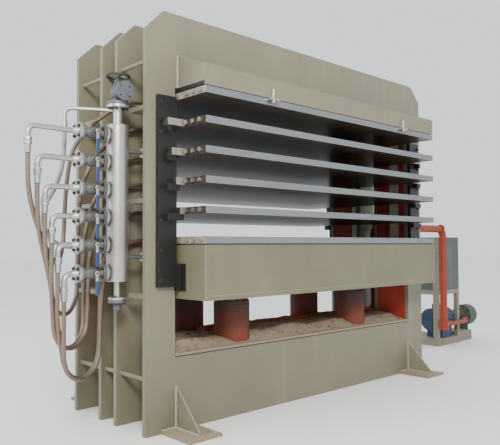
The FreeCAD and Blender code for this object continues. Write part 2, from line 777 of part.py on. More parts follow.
def make_hydraulics():
    """Cylinders with an oil port each, gland rings with a long spigot, and rams."""
    port_level = f"({DECK_TOP} + oil_pipe_radius + oil_pipe_seat)"
    cylinders = []
    glands = []
    rams = []
    for n, (x, y, depth) in enumerate(cylinder_places()):
        barrel = rod(f"barrel_{n}", "Z", (SEAT_TOP, CYLINDER_TOP), (x, y), "cylinder_radius")
        hollow = (f"{SEAT_TOP} + cylinder_floor", f"{CYLINDER_TOP} + 1")
        bore = rod(f"bore_{n}", "Z", hollow, (x, y), "bore_radius")
        inward = (f"{ROW_Y} - cylinder_radius - 1", f"{ROW_Y} - bore_radius + 5")
        port = rod(f"port_{n}", "Y", mirrored(inward, depth), (x, port_level), "oil_branch_radius + 0.5")
        cylinders.append(cut(f"cylinder_{n}", barrel, [bore, port]))
        flange = rod(f"gland_flange_{n}", "Z", (CYLINDER_TOP, f"{CYLINDER_TOP} + gland_flange"), (x, y),
                     "cylinder_radius")
        inside = (f"{CYLINDER_TOP} - gland_spigot", f"{CYLINDER_TOP} + 1")
        spigot = rod(f"gland_spigot_{n}", "Z", inside, (x, y), "bore_radius - gland_clearance")
        passage = rod(f"gland_bore_{n}", "Z",
                      (f"{CYLINDER_TOP} - gland_spigot - 1", f"{CYLINDER_TOP} + gland_flange + 1"), (x, y),
                      "ram_radius + ram_clearance")
        glands.append(cut(f"gland_{n}", fuse(f"gland_blank_{n}", [flange, spigot]), [passage]))
        foot = f"({SEAT_TOP} + cylinder_floor + ram_foot_gap)"
        rams.append(rod(f"ram_{n}", "Z", (foot, TABLE_LOW), (x, y), "ram_radius"))
    return [group("cylinders", cylinders), group("cylinder_glands", glands), group("rams", rams)]


def make_feet():
    """Four foot plates with a gusset and an anchor hole each."""
    feet = []
    for side in (LEFT, RIGHT):
        for depth in (FRONT, BACK):
            n = len(feet)
            outer = f"{HALF_FRAME} - foot_inset"
            sole = box(f"sole_{n}", mirrored((f"{outer} - foot_length", outer), side),
                       mirrored((HALF_DEPTH, f"{HALF_DEPTH} + foot_reach"), depth), ("0", "foot_thickness"))
            gusset_low = mirrored((f"{HALF_FRAME} - gusset_inset - gusset_thickness",
                                   f"{HALF_FRAME} - gusset_inset"), side)[0]
            gusset = prism(f"gusset_{n}", "X", [
                (f"{depth} * {HALF_DEPTH}", "foot_thickness - 1"),
                (f"{depth} * ({HALF_DEPTH} + gusset_reach)", "foot_thickness - 1"),
                (f"{depth} * ({HALF_DEPTH} + gusset_reach)", "foot_thickness + 12"),
                (f"{depth} * {HALF_DEPTH}", "gusset_height"),
            ], gusset_low, "gusset_thickness")
            hole = rod(f"anchor_{n}", "Z", ("0 - 1", "foot_thickness + 1"),
                       (f"{side} * anchor_spacing_x / 2", f"{depth} * anchor_spacing_y / 2"), "anchor_radius")
            feet.append(cut(f"foot_{n}", fuse(f"foot_blank_{n}", [sole, gusset]), [hole]))
    return group("feet", feet)


def make_crown_clamps():
    """Clamps on the front and back edges that hold the top platen up against the crown."""
    clamps = []
    low = f"({platen_low(1)} + platen_thickness)"
    for depth in (FRONT, BACK):
        for centre in ("0 - 770", "830"):
            n = len(clamps)
            out = mirrored((HALF_PLATEN_DEPTH, f"{HALF_PLATEN_DEPTH} + 42"), depth)
            thin = mirrored((HALF_PLATEN_DEPTH, f"{HALF_PLATEN_DEPTH} + 10"), depth)
            lip = box(f"clamp_lip_{n}", (f"{centre} - 45", f"{centre} + 45"), out, (f"{low} - 16", low))
            wide = (f"{centre} - 30", f"{centre} + 30")
            back = box(f"clamp_back_{n}", wide, thin, (f"{low} - 16", f"{low} + 34"))
            bolt_y = f"{depth} * ({HALF_PLATEN_DEPTH} + 26)"
            bolt = rod(f"clamp_bolt_{n}", "Z", (f"{low} - 26", f"{low} + 62"), (centre, bolt_y), "9")
            head = rod(f"clamp_head_{n}", "Z", (f"{low} - 30", f"{low} - 15"), (centre, bolt_y), "16")
            clamps.append(fuse(f"clamp_{n}", [lip, back, bolt, head]))
    return group("crown_clamps", clamps)


def flange(name, axis, span, across, radius, circle, holes=4):
    """A round flange with its bolt holes cut."""
    disc = rod(name + "_disc", axis, span, across, radius)
    drills = []
    for n in range(holes):
        turn = math.radians(45 + 360 / holes * n)
        wide = (f"({span[0]}) - 1", f"({span[1]}) + 1")
        first = f"{across[0]} + {math.cos(turn):.6f} * {circle}"
        spot = (first, f"{across[1]} + {math.sin(turn):.6f} * {circle}")
        drills.append(rod(f"{name}_hole_{n}", axis, wide, spot, "bolt_hole_radius"))
    return cut(name, disc, drills)


def make_header():
    """The steam header with its six branch flanges, end necks, end flanges and wall straps."""
    here = (HEADER_X, "header_y")
    parts = [
        rod("header_pipe", "Z", ("header_low", "header_high"), here, "header_radius"),
        rod("header_top_neck", "Z", ("header_high - 5", "header_high + top_neck_length + 5"), here,
            "top_neck_radius"),
        flange("header_top_flange", "Z", ("header_high + top_neck_length",
               "header_high + top_neck_length + main_flange_thickness"), here, "main_flange_radius",
               "main_bolt_circle / 2"),
        rod("header_low_neck", "Z", ("header_low - drain_neck_length - 5", "header_low + 5"), here,
            "drain_neck_radius"),
        flange("header_low_flange", "Z", ("header_low - drain_neck_length - flange_thickness",
               "header_low - drain_neck_length"), here, "drain_flange_radius", "branch_bolt_circle"),
    ]
    for number in range(1, PLATENS + 1):
        side = ("header_y", branch_z(number))
        inner = f"{HEADER_X} - header_radius - branch_stub"
        stub = (f"{inner} - 5", f"{HEADER_X} - header_radius + 8")
        parts.append(rod(f"branch_stub_{number}", "X", stub, side, "branch_radius"))
        parts.append(flange(f"branch_flange_{number}", "X", (f"{inner} - flange_thickness", inner), side,
                            "branch_flange_radius", "branch_bolt_circle"))
    strap_x = f"90 - {HALF_FRAME}"
    for n, level in enumerate(("bracket_high", "bracket_low")):
        parts.append(rod(f"bracket_bar_{n}", "X", (f"{HEADER_X} + header_radius - 8", f"{strap_x} + 2"),
                         ("header_y", level), "bracket_radius"))
        parts.append(box(f"bracket_strap_{n}", (strap_x, f"{strap_x} + 12"),
                         (f"0 - {GAP_OUT}", "header_y + 40"), (f"{level} - 30", f"{level} + 30")))
    return fuse("steam_header", parts)


def make_header_fittings():
    """The angle valve on the header's top, its inlet flange at the front, the drain's flange and stub
    below the header, and the gaskets of both."""
    here = (HEADER_X, "header_y")
    seat = "(header_high + top_neck_length + main_flange_thickness + gasket_thickness)"
    middle = f"({seat} + main_flange_thickness + 60)"
    inlet = "(header_y - main_inlet_reach)"
    parts = [
        flange("valve_low_flange", "Z", (seat, f"{seat} + main_flange_thickness"), here, "main_flange_radius",
               "main_bolt_circle / 2"),
        rod("valve_throat", "Z", (f"{seat} + main_flange_thickness - 5", middle), here, "35"),
        ball("valve_ball", HEADER_X, "header_y", middle, "main_valve_radius - 6"),
        rod("valve_inlet", "Y", (f"{inlet} - 5", "header_y - 20"), (HEADER_X, middle), "32"),
        flange("valve_inlet_flange", "Y", (f"{inlet} - main_flange_thickness", inlet), (HEADER_X, middle),
               "62", "45"),
        cone("valve_bonnet", "Z", (f"{middle} + 30", f"{middle} + 78"), here, ("40", "20")),
        rod("valve_gland", "Z", (f"{middle} + 70", f"{middle} + 92"), here, "16"),
        rod("valve_stem", "Z", (f"{middle} + 60", "handwheel_height + 12"), here, "8"),
    ]
    valve = fuse("angle_valve", parts)
    top = rod("gasket_top", "Z", (f"{seat} - gasket_thickness", seat), here, "main_flange_radius - 25")
    drain = "(header_low - drain_neck_length - flange_thickness)"
    low = rod("gasket_low", "Z", (f"{drain} - gasket_thickness", drain), here, "branch_bolt_circle - 9")
    drain_top = f"({drain} - gasket_thickness)"
    stub = fuse("drain", [
        flange("drain_flange", "Z", (f"{drain_top} - flange_thickness", drain_top), here,
               "drain_flange_radius", "branch_bolt_circle"),
        rod("drain_stub", "Z", (f"{drain_top} - flange_thickness - drain_stub_length", drain_top), here,
            "drain_stub_radius"),
        rod("drain_valve", "Z", (f"{drain_top} - flange_thickness - drain_stub_length + 8",
            f"{drain_top} - flange_thickness - 8"), here, "drain_valve_radius"),
    ])
    return [group("header_fittings", [valve, stub]), group("header_gaskets", [top, low])]


def make_handwheel():
    """The main valve's handwheel: rim, three spokes and a hub that turns on the stem."""
    hub_x = value(HEADER_X)
    hub_y = value("header_y")
    level = "handwheel_height"
    rim = ring("wheel_rim", HEADER_X, "header_y", level, "handwheel_radius", "handwheel_rim")
    hub = rod("wheel_hub", "Z", (f"{level} - 10", f"{level} + 10"), (HEADER_X, "header_y"), "16")
    spokes = []
    for n in range(3):
        spoke = doc.addObject("Part::Cylinder", f"wheel_spoke_{n}")
        turn = FreeCAD.Rotation(FreeCAD.Vector(0, 0, 1), 30 + 120 * n).multiply(TURNS["X"])
        spoke.Placement = FreeCAD.Placement(FreeCAD.Vector(hub_x, hub_y, value(level)), turn)
        place(spoke, HEADER_X, "header_y", level)
        bind(spoke, Radius="5", Height="handwheel_radius")
        spokes.append(spoke)
    bore = rod("wheel_bore", "Z", (f"{level} - 20", f"{level} + 20"), (HEADER_X, "header_y"),
               "8 + lever_bore_clearance")
    return cut("header_handwheel", fuse("wheel_blank", [rim, hub] + spokes), [bore])


def make_branch_valves():
    """Six ball valves with a flange at each end and a stem towards the loading side."""
    valves = []
    for number in range(1, PLATENS + 1):
        level = branch_z(number)
        side = ("header_y", level)
        right = VALVE_END
        left = f"({VALVE_END} - valve_length)"
        valves.append(fuse(f"branch_valve_{number}", [
            flange(f"valve_flange_a_{number}", "X", (f"{right} - flange_thickness", right), side,
                   "branch_flange_radius", "branch_bolt_circle"),
            flange(f"valve_flange_b_{number}", "X", (left, f"{left} + flange_thickness"), side,
                   "branch_flange_radius", "branch_bolt_circle"),
            rod(f"valve_body_{number}", "X", (f"{left} + 5", f"{right} - 5"), side, "valve_radius - 7"),
            rod(f"valve_swell_{number}", "X", (f"{STEM_X} - 30", f"{STEM_X} + 30"), side, "valve_radius"),
            rod(f"valve_neck_{number}", "Y", ("header_y - 62", "header_y"), (STEM_X, level),
                "stem_radius + 5"),
            rod(f"valve_stem_{number}", "Y", ("header_y - stem_reach - 14", "header_y"), (STEM_X, level),
                "stem_radius - 4"),
        ]))
    return group("branch_valves", valves)


def make_levers():
    """Six levers that turn on the valves' stems and hang down when a valve is shut."""
    levers = []
    for number in range(1, PLATENS + 1):
        level = branch_z(number)
        near = "(header_y - stem_reach)"
        hub = rod(f"lever_hub_{number}", "Y", (f"{near} - lever_thickness - 4", near), (STEM_X, level),
                  "stem_radius + 4")
        blade = box(f"lever_blade_{number}", (f"{STEM_X} - lever_width / 2", f"{STEM_X} + lever_width / 2"),
                    (f"{near} - lever_thickness", near), (f"{level} - lever_length", level))
        bore = rod(f"lever_bore_{number}", "Y", (f"{near} - 30", f"{near} + 5"), (STEM_X, level),
                   "stem_radius - 4 + lever_bore_clearance")
        levers.append(cut(f"valve_lever_{number}", fuse(f"lever_blank_{number}", [hub, blade]), [bore]))
    return levers


def make_branch_pipes():
    """Six pipes from the valves: flange, weld neck, pipe, elbow, union and hose ferrule."""
    pipes = []
    for number, reach in enumerate(ELBOW_REACH, start=1):
        level = branch_z(number)
        side = ("header_y", level)
        face = BRANCH_FACE
        neck = f"({face} - flange_thickness)"
        drop_x = f"({HEADER_X} - header_radius - {reach})"
        x, y, z = value(drop_x), value("header_y"), value(level)
        start = (value(f"{neck} - neck_length + 3"), y, z)
        bent = tube(f"branch_bend_{number}", [start, (x, y, z), (x, y, z - value("union_drop") - 3)],
                    "branch_radius", value("elbow_radius"))
        low = f"({level} - union_drop - union_length)"
        down = (drop_x, "header_y")
        pipes.append(fuse(f"branch_pipe_{number}", [
            flange(f"pipe_flange_{number}", "X", (neck, face), side, "branch_flange_radius",
                   "branch_bolt_circle"),
            cone(f"pipe_neck_{number}", "X", (f"{neck} - neck_length", f"{neck} + 2"), side,
                 ("branch_radius", "neck_radius")),
            bent,
            rod(f"union_{number}", "Z", (low, f"{level} - union_drop"), down, "union_radius"),
            rod(f"ferrule_{number}", "Z", (f"{low} - ferrule_length", f"{low} + 2"), down, "ferrule_radius"),
        ]))
    return group("branch_pipes", pipes)


def make_flange_bolts():
    """Four bolts through each branch valve's two flange joints."""
    bolts = []
    for number in range(1, PLATENS + 1):
        level = branch_z(number)
        for face in (VALVE_END, f"({VALVE_END} - valve_length - flange_gap)"):
            joint = f"({face} + flange_gap / 2)"
            grip = "(flange_thickness + flange_gap / 2)"
            for n in range(4):
                turn = math.radians(45 + 90 * n)
                spot = (f"header_y + {math.cos(turn):.6f} * branch_bolt_circle",
                        f"{level} + {math.sin(turn):.6f} * branch_bolt_circle")
                name = f"bolt_{len(bolts)}"
                shank = rod(name + "_shank", "X", (f"{joint} - {grip} - 12", f"{joint} + {grip} + 9"), spot,
                            "bolt_radius")
                head = rod(name + "_head", "X", (f"{joint} + {grip}", f"{joint} + {grip} + 8"), spot, "10")
                nut = rod(name + "_nut", "X", (f"{joint} - {grip} - 10", f"{joint} - {grip}"), spot, "10")
                bolts.append(fuse(name, [shank, head, nut]))
    return group("flange_bolts", bolts)


def make_hoses():
    """Six braided hoses, from the branch pipes' ferrules to the platens' nipples."""
    return [tube(f"steam_hose_{n}", route, "hose_radius") for n, route in enumerate(HOSE_ROUTES, start=1)]


def make_return_line():
    """The return pipe from the header's top neck, the socket it comes back to, and its hose."""
    level = value("return_height")
    neck = (value(HEADER_X), value("header_y"))
    corner = RETURN_ROUTE[0][:2]
    away = FreeCAD.Vector(corner[0] - neck[0], corner[1] - neck[1], 0).normalize()
    start = FreeCAD.Vector(neck[0], neck[1], level) + away * (value("top_neck_radius") + 0.5)
    union_low = RETURN_ROUTE[0][2]
    pipe = tube("return_bend", [tuple(start), (*corner, level), (*corner, union_low + 35)], "return_radius",
                value("return_bend"))
    here = (f"{corner[0]}", f"{corner[1]}")
    union = rod("return_union", "Z", (f"{union_low}", f"{union_low + 40}"), here, "union_radius - 3")
    end = RETURN_ROUTE[-1]
    socket = rod("return_socket", "X", (f"{end[0]}", f"0 - {HALF_FRAME}"), (f"{end[1]}", f"{end[2]}"),
                 "nipple_radius")
    line = group("return_pipe", [fuse("return_elbow", [pipe, union]), socket])
    return [line, tube("return_hose", RETURN_ROUTE, "hose_radius")]


def make_oil_pipe():
    """One welded oil line: a manifold on the deck with four branches, a riser inside the right
    post, a run over to the unit, and the tee with the pump's branch."""
    level = value(f"{DECK_TOP} + oil_pipe_radius + oil_pipe_seat")
    high = value("oil_pipe_high")
    left_end = value("0 - cylinder_spacing / 2 - 60")
    rise_x = value("oil_rise_x")
    drop_x = value("oil_drop_x")
    tee = value("oil_tee_height")
    bend = value("oil_pipe_bend")
    main = tube("oil_main", [(left_end, 0, level), (rise_x, 0, level), (rise_x, 0, high), (drop_x, 0, high),
                             (drop_x, 0, tee)], "oil_pipe_radius", bend)
    parts = [main]
    for n, (x, y, depth) in enumerate(cylinder_places()):
        reach = ("10", f"{ROW_Y} - cylinder_radius + 7")
        line = f"{DECK_TOP} + oil_pipe_radius + oil_pipe_seat"
        parts.append(rod(f"oil_branch_{n}", "Y", mirrored(reach, depth), (x, line), "oil_branch_radius"))
    half = "oil_tee_size / 2"
    parts.append(rod("oil_tee", "Z", (f"oil_tee_height - {half}", f"oil_tee_height + {half}"),
                     ("oil_drop_x", "0"), half))
    port = (value("pump_x - 20"), value("drive_y - 80"), tee)
    feed = tube("oil_feed", [(drop_x, 0, tee), (port[0] - 270, port[1] - 135, tee),
                             (port[0] - 70, port[1], tee), port], "oil_branch_radius", 60)
    parts.append(feed)
    for n, (x, z) in enumerate(((1530, "oil_pipe_high"), (2790, "oil_pipe_high"))):
        parts.append(rod(f"oil_collar_{n}", "X", (f"{x}", f"{x + 22}"), ("0", z), "oil_pipe_radius + 12"))
    return fuse("oil_pipe", parts)


def make_oil_unit():
    """The oil unit: stand, tank, motor, coupling with its shafts, and pump."""
    x0, y0 = "unit_x", "unit_y"
    x1, y1 = "(unit_x + unit_length)", "(unit_y + unit_depth)"
    posts = [
        box("unit_post_0", (x0, f"{x0} + post_size"), (y0, f"{y0} + corner_post_depth"), ("0", "tank_low")),
        box("unit_post_1", (f"{x1} - post_size", x1), (y0, f"{y0} + post_size"), ("0", "tank_low")),
        box("unit_post_2", (x0, f"{x0} + post_size"), (f"{y1} - post_size", y1), ("0", "tank_low")),
        box("unit_post_3", (f"{x1} - post_size", x1), (f"{y1} - post_size", y1), ("0", "tank_low")),
        box("unit_base_plate", (x0, x1), (y0, y1), ("0", "unit_base")),
        box("unit_tail_plate", (f"{x1} - 10", f"{x1} + unit_tail"),
            (f"{y0} + 22", f"{y0} + 22 + unit_tail_depth"), ("0", "unit_base + 40")),
        box("unit_rail_0", (x0, x1), (y0, f"{y0} + post_size"), ("tank_low - post_size", "tank_low")),
        box("unit_rail_1", (x0, x1), (f"{y1} - post_size", y1), ("tank_low - post_size", "tank_low")),
        box("unit_rail_2", (x0, f"{x0} + post_size"), (y0, y1), ("tank_low - post_size", "tank_low")),
        box("unit_rail_3", (f"{x1} - post_size", x1), (y0, y1), ("tank_low - post_size", "tank_low")),
    ]
    tank_top = "(tank_low + tank_height)"
    leaf = "corner_angle"
    posts += [
        box("unit_angle_0", (x0, f"{x0} + {leaf}"), (y0, f"{y0} + corner_post_depth"),
            ("tank_low - post_size", tank_top)),
        box("unit_angle_1", (x0, f"{x0} + post_size"), (y0, f"{y0} + {leaf}"),
            ("tank_low - post_size", tank_top)),
    ]
    stand = fuse("unit_stand", posts)
    outer = box("tank_outer", (f"{x0} + {leaf}", x1), (f"{y0} + {leaf}", y1), ("tank_low", tank_top))
    inner = box("tank_inner", (f"{x0} + {leaf} + tank_wall", f"{x1} - tank_wall"),
                (f"{y0} + {leaf} + tank_wall", f"{y1} - tank_wall"),
                ("tank_low + tank_wall", f"{tank_top} - tank_wall"))
    neck = rod("tank_neck", "Z", (f"{tank_top} - 1", f"{tank_top} + 30"),
               (f"{x0} + 120", f"{y1} - 160"), "40")
    tank = fuse("oil_tank", [cut("tank_shell", outer, [inner]), neck])
    axis = ("drive_y", "drive_height")
    motor_low = "(unit_x + motor_gap)"
    motor_high = f"({motor_low} + motor_length)"
    motor = fuse("drive_motor", [
        rod("motor_body", "X", (motor_low, motor_high), axis, "motor_radius - 12"),
        rod("motor_cowl", "X", (motor_low, f"{motor_low} + 90"), axis, "motor_radius"),
        rod("motor_end", "X", (f"{motor_high} - 30", motor_high), axis, "motor_radius - 4"),
        box("motor_foot", (f"{motor_low} + 100", f"{motor_high} - 50"), ("drive_y - 105", "drive_y + 105"),
            ("unit_base", "drive_height - 100")),
        box("motor_terminal_box", (f"{motor_low} + 130", f"{motor_low} + 240"),
            ("drive_y - 50", "drive_y + 50"), ("drive_height + 90", "drive_height + 175")),
    ])
    pump_high = "(pump_x + pump_length)"
    bell = "(pump_x - bell_length)"
    port_place = ("drive_y - 80", "oil_tee_height")
    pump = fuse("oil_pump", [
        rod("pump_body", "X", ("pump_x", pump_high), axis, "pump_radius"),
        cone("pump_cover", "X", (f"{pump_high} - 2", f"{pump_high} + 15"), axis,
             ("pump_radius - 8", "pump_radius - 30")),
        rod("pump_bell", "X", (bell, "pump_x + 2"), axis, "bell_radius"),
        rod("pump_port", "X", ("pump_x - 20", "pump_x + 2"), port_place, "34"),
        box("pump_foot", ("pump_x", f"{x1} + unit_tail - 10"), ("drive_y - 80", "drive_y + 80"),
            ("unit_base + 40", "drive_height - 90")),
    ])
    shaft_low = f"({motor_high} + 0.5)"
    shaft_high = f"({bell} - 0.5)"
    middle = f"(({shaft_low} + {shaft_high}) / 2)"
    coupling = fuse("drive_coupling", [
        rod("shaft", "X", (shaft_low, shaft_high), axis, "shaft_radius"),
        rod("hub_motor", "X", (f"{middle} - 62", f"{middle} - 8"), axis, "coupling_radius"),
        rod("spider", "X", (f"{middle} - 9", f"{middle} + 9"), axis, "coupling_radius - 5"),
        rod("hub_pump", "X", (f"{middle} + 8", f"{middle} + 62"), axis, "coupling_radius"),
    ])
    return [stand, tank, motor, pump, coupling]


def make_all():
    """Every sub-part, each labelled with its node's name."""
    nodes = []
    nodes += make_frame_plates()
    nodes += [make_plate_ties(), make_side_liners(), make_platen_side_guides()]
    nodes += make_crown()
    nodes += make_platens()
    nodes += make_platen_fittings()
    nodes += [make_guide_rails(), make_ladder_steps()]
    nodes += make_table()
    nodes += [make_table_shoes(), make_deck()]
    nodes += make_hydraulics()
    nodes += [make_feet(), make_crown_clamps(), make_header()]
    nodes += make_header_fittings()
    nodes += [make_handwheel(), make_branch_valves()]
    nodes += make_levers()
    nodes += [make_branch_pipes(), make_flange_bolts()]
    nodes += make_hoses()
    nodes += make_return_line()
    nodes += [make_oil_pipe()]
    nodes += make_oil_unit()
    return nodes


def check(nodes):
    """Stops if anything in the document failed, or a sub-part has no valid shape."""
    for thing in doc.Objects:
        bad = {"Invalid", "Error"} & set(thing.State)
        if bad:
            raise RuntimeError(f"{thing.Name} is {', '.join(sorted(bad))}")
    for node in nodes:
        if node.Shape.isNull() or not node.Shape.isValid() or not node.Shape.Solids:
            raise RuntimeError(f"{node.Label} has no valid solid")
    labels = [node.Label for node in nodes]
    if len(set(labels)) != len(labels):
        raise RuntimeError("two sub-parts share a label")


def main():
    """Builds the document and writes one STEP file for each sub-part."""
    nodes = make_all()
    doc.recompute()
    check(nodes)
    os.makedirs("parts", exist_ok=True)
    for node in nodes:
        node.Shape.exportStep(os.path.join("parts", f"{node.Label}.step"))
        print(f"{node.Label}: {len(node.Shape.Solids)} solid(s), {node.Shape.Volume / 1e9:.4f} m3")
    print(f"{len(nodes)} nodes")


main()
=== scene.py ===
"""Looks of a multi-daylight hot press: its plate frame, heated platens, rising table, steam header with
valves and hoses, and the oil unit beside it.

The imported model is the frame. Every piece lies in metres in its axes: +X along the platens, +Y from the
loading side to the back, +Z up, with the origin on the floor between the anchor holes.
"""

import logging
import math
import random
from collections.abc import Iterable, Sequence
from dataclasses import dataclass, field
from enum import Enum
from typing import Any

import bmesh
import bpy
from mathutils import Matrix, Vector, noise


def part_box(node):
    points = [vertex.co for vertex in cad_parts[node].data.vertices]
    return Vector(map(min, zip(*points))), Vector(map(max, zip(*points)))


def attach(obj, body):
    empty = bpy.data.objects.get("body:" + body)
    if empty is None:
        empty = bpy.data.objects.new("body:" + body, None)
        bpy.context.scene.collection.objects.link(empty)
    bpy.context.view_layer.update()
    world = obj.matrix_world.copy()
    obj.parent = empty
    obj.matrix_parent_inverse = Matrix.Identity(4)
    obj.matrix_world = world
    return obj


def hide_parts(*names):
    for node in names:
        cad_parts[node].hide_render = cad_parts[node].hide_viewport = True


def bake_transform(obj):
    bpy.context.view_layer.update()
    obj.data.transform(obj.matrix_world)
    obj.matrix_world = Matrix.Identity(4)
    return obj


log = logging.getLogger("hot_press")
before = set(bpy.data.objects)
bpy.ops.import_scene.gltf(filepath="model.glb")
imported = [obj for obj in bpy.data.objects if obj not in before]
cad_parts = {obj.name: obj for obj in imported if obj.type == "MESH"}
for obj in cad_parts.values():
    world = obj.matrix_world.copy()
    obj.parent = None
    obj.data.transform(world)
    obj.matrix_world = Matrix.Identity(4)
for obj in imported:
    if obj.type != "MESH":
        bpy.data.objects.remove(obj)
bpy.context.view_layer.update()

Colour = tuple[float, float, float]
Point = tuple[float, float, float]
FRAME_BODY = "frame"
TABLE_BODY = "table"
PLATENS = 6


class Axis(Enum):
    """A direction of the object's frame, with the turn that brings +Z onto it."""

    X = Matrix.Rotation(math.radians(90), 4, "Y")
    Y = Matrix.Rotation(math.radians(-90), 4, "X")
    Z = Matrix.Identity(4)

    def at(self, along: float, first: float, second: float) -> Vector:
        """A point given by its distances along and across this axis.

        Args:
            along: the distance along it.
            first: its place on the first of the other two axes, in X, Y, Z order.
            second: its place on the second of them.

        Returns:
            The point.
        """
        if self is Axis.X:
            return Vector((along, first, second))
        if self is Axis.Y:
            return Vector((first, along, second))
        return Vector((first, second, along))


def body_of_platen(number: int) -> str:
    """The body that a platen rides on; the top one is fixed, and the lowest lies on the table."""
    return {1: FRAME_BODY, PLATENS: TABLE_BODY}.get(number, f"platen_{number}")


class Side(Enum):
    """An end of the press: the header's or the oil unit's."""

    LEFT = -1
    RIGHT = 1


class Face(Enum):
    """A long side of the press: where boards are loaded, or the back."""

    FRONT = -1
    BACK = 1


# ---------------------------------------------------------------- shader maths


class Wire:
    """A shader socket that takes part in Python sums."""

    def __init__(self, tree: bpy.types.NodeTree, socket: bpy.types.NodeSocket) -> None:
        """Keeps the tree and the socket.

        Args:
            tree: the material's node tree.
            socket: an output socket in it.
        """
        self.tree = tree
        self.socket = socket

    def _math(self, operation: str, *values: "Wire | float", clamp: bool = False) -> "Wire":
        """Adds one Math node.

        Args:
            operation: the node's operation.
            values: its inputs, wires or numbers.
            clamp: whether the result is held between 0 and 1.

        Returns:
            The node's result.
        """
        node = self.tree.nodes.new("ShaderNodeMath")
        node.operation = operation
        node.use_clamp = clamp
        for index, value in enumerate(values):
            if isinstance(value, Wire):
                self.tree.links.new(value.socket, node.inputs[index])
            else:
                node.inputs[index].default_value = value
        return Wire(self.tree, node.outputs[0])

    def __add__(self, other: "Wire | float") -> "Wire":
        """Sum."""
        return self._math("ADD", self, other)

    def __radd__(self, other: float) -> "Wire":
        """Sum."""
        return self._math("ADD", other, self)

    def __sub__(self, other: "Wire | float") -> "Wire":
        """Difference."""
        return self._math("SUBTRACT", self, other)

    def __rsub__(self, other: float) -> "Wire":
        """Difference from a number."""
        return self._math("SUBTRACT", other, self)

    def __mul__(self, other: "Wire | float") -> "Wire":
        """Product."""
        return self._math("MULTIPLY", self, other)

    def __rmul__(self, other: float) -> "Wire":
        """Product."""
        return self._math("MULTIPLY", other, self)

    def sine(self) -> "Wire":
        """Sine, in radians."""
        return self._math("SINE", self)

    def size(self) -> "Wire":
        """Absolute value."""
        return self._math("ABSOLUTE", self)

    def above(self, low: float, high: float) -> "Wire":
        """0 below low, 1 above high, and a straight rise between them; high may be the smaller."""
        return self._math("MULTIPLY_ADD", self, 1 / (high - low), -low / (high - low), clamp=True)

    def most(self, other: "Wire | float") -> "Wire":
        """The larger of two."""
        return self._math("MAXIMUM", self, other)

    def held(self) -> "Wire":
        """Held between 0 and 1."""
        return self._math("ADD", self, 0.0, clamp=True)


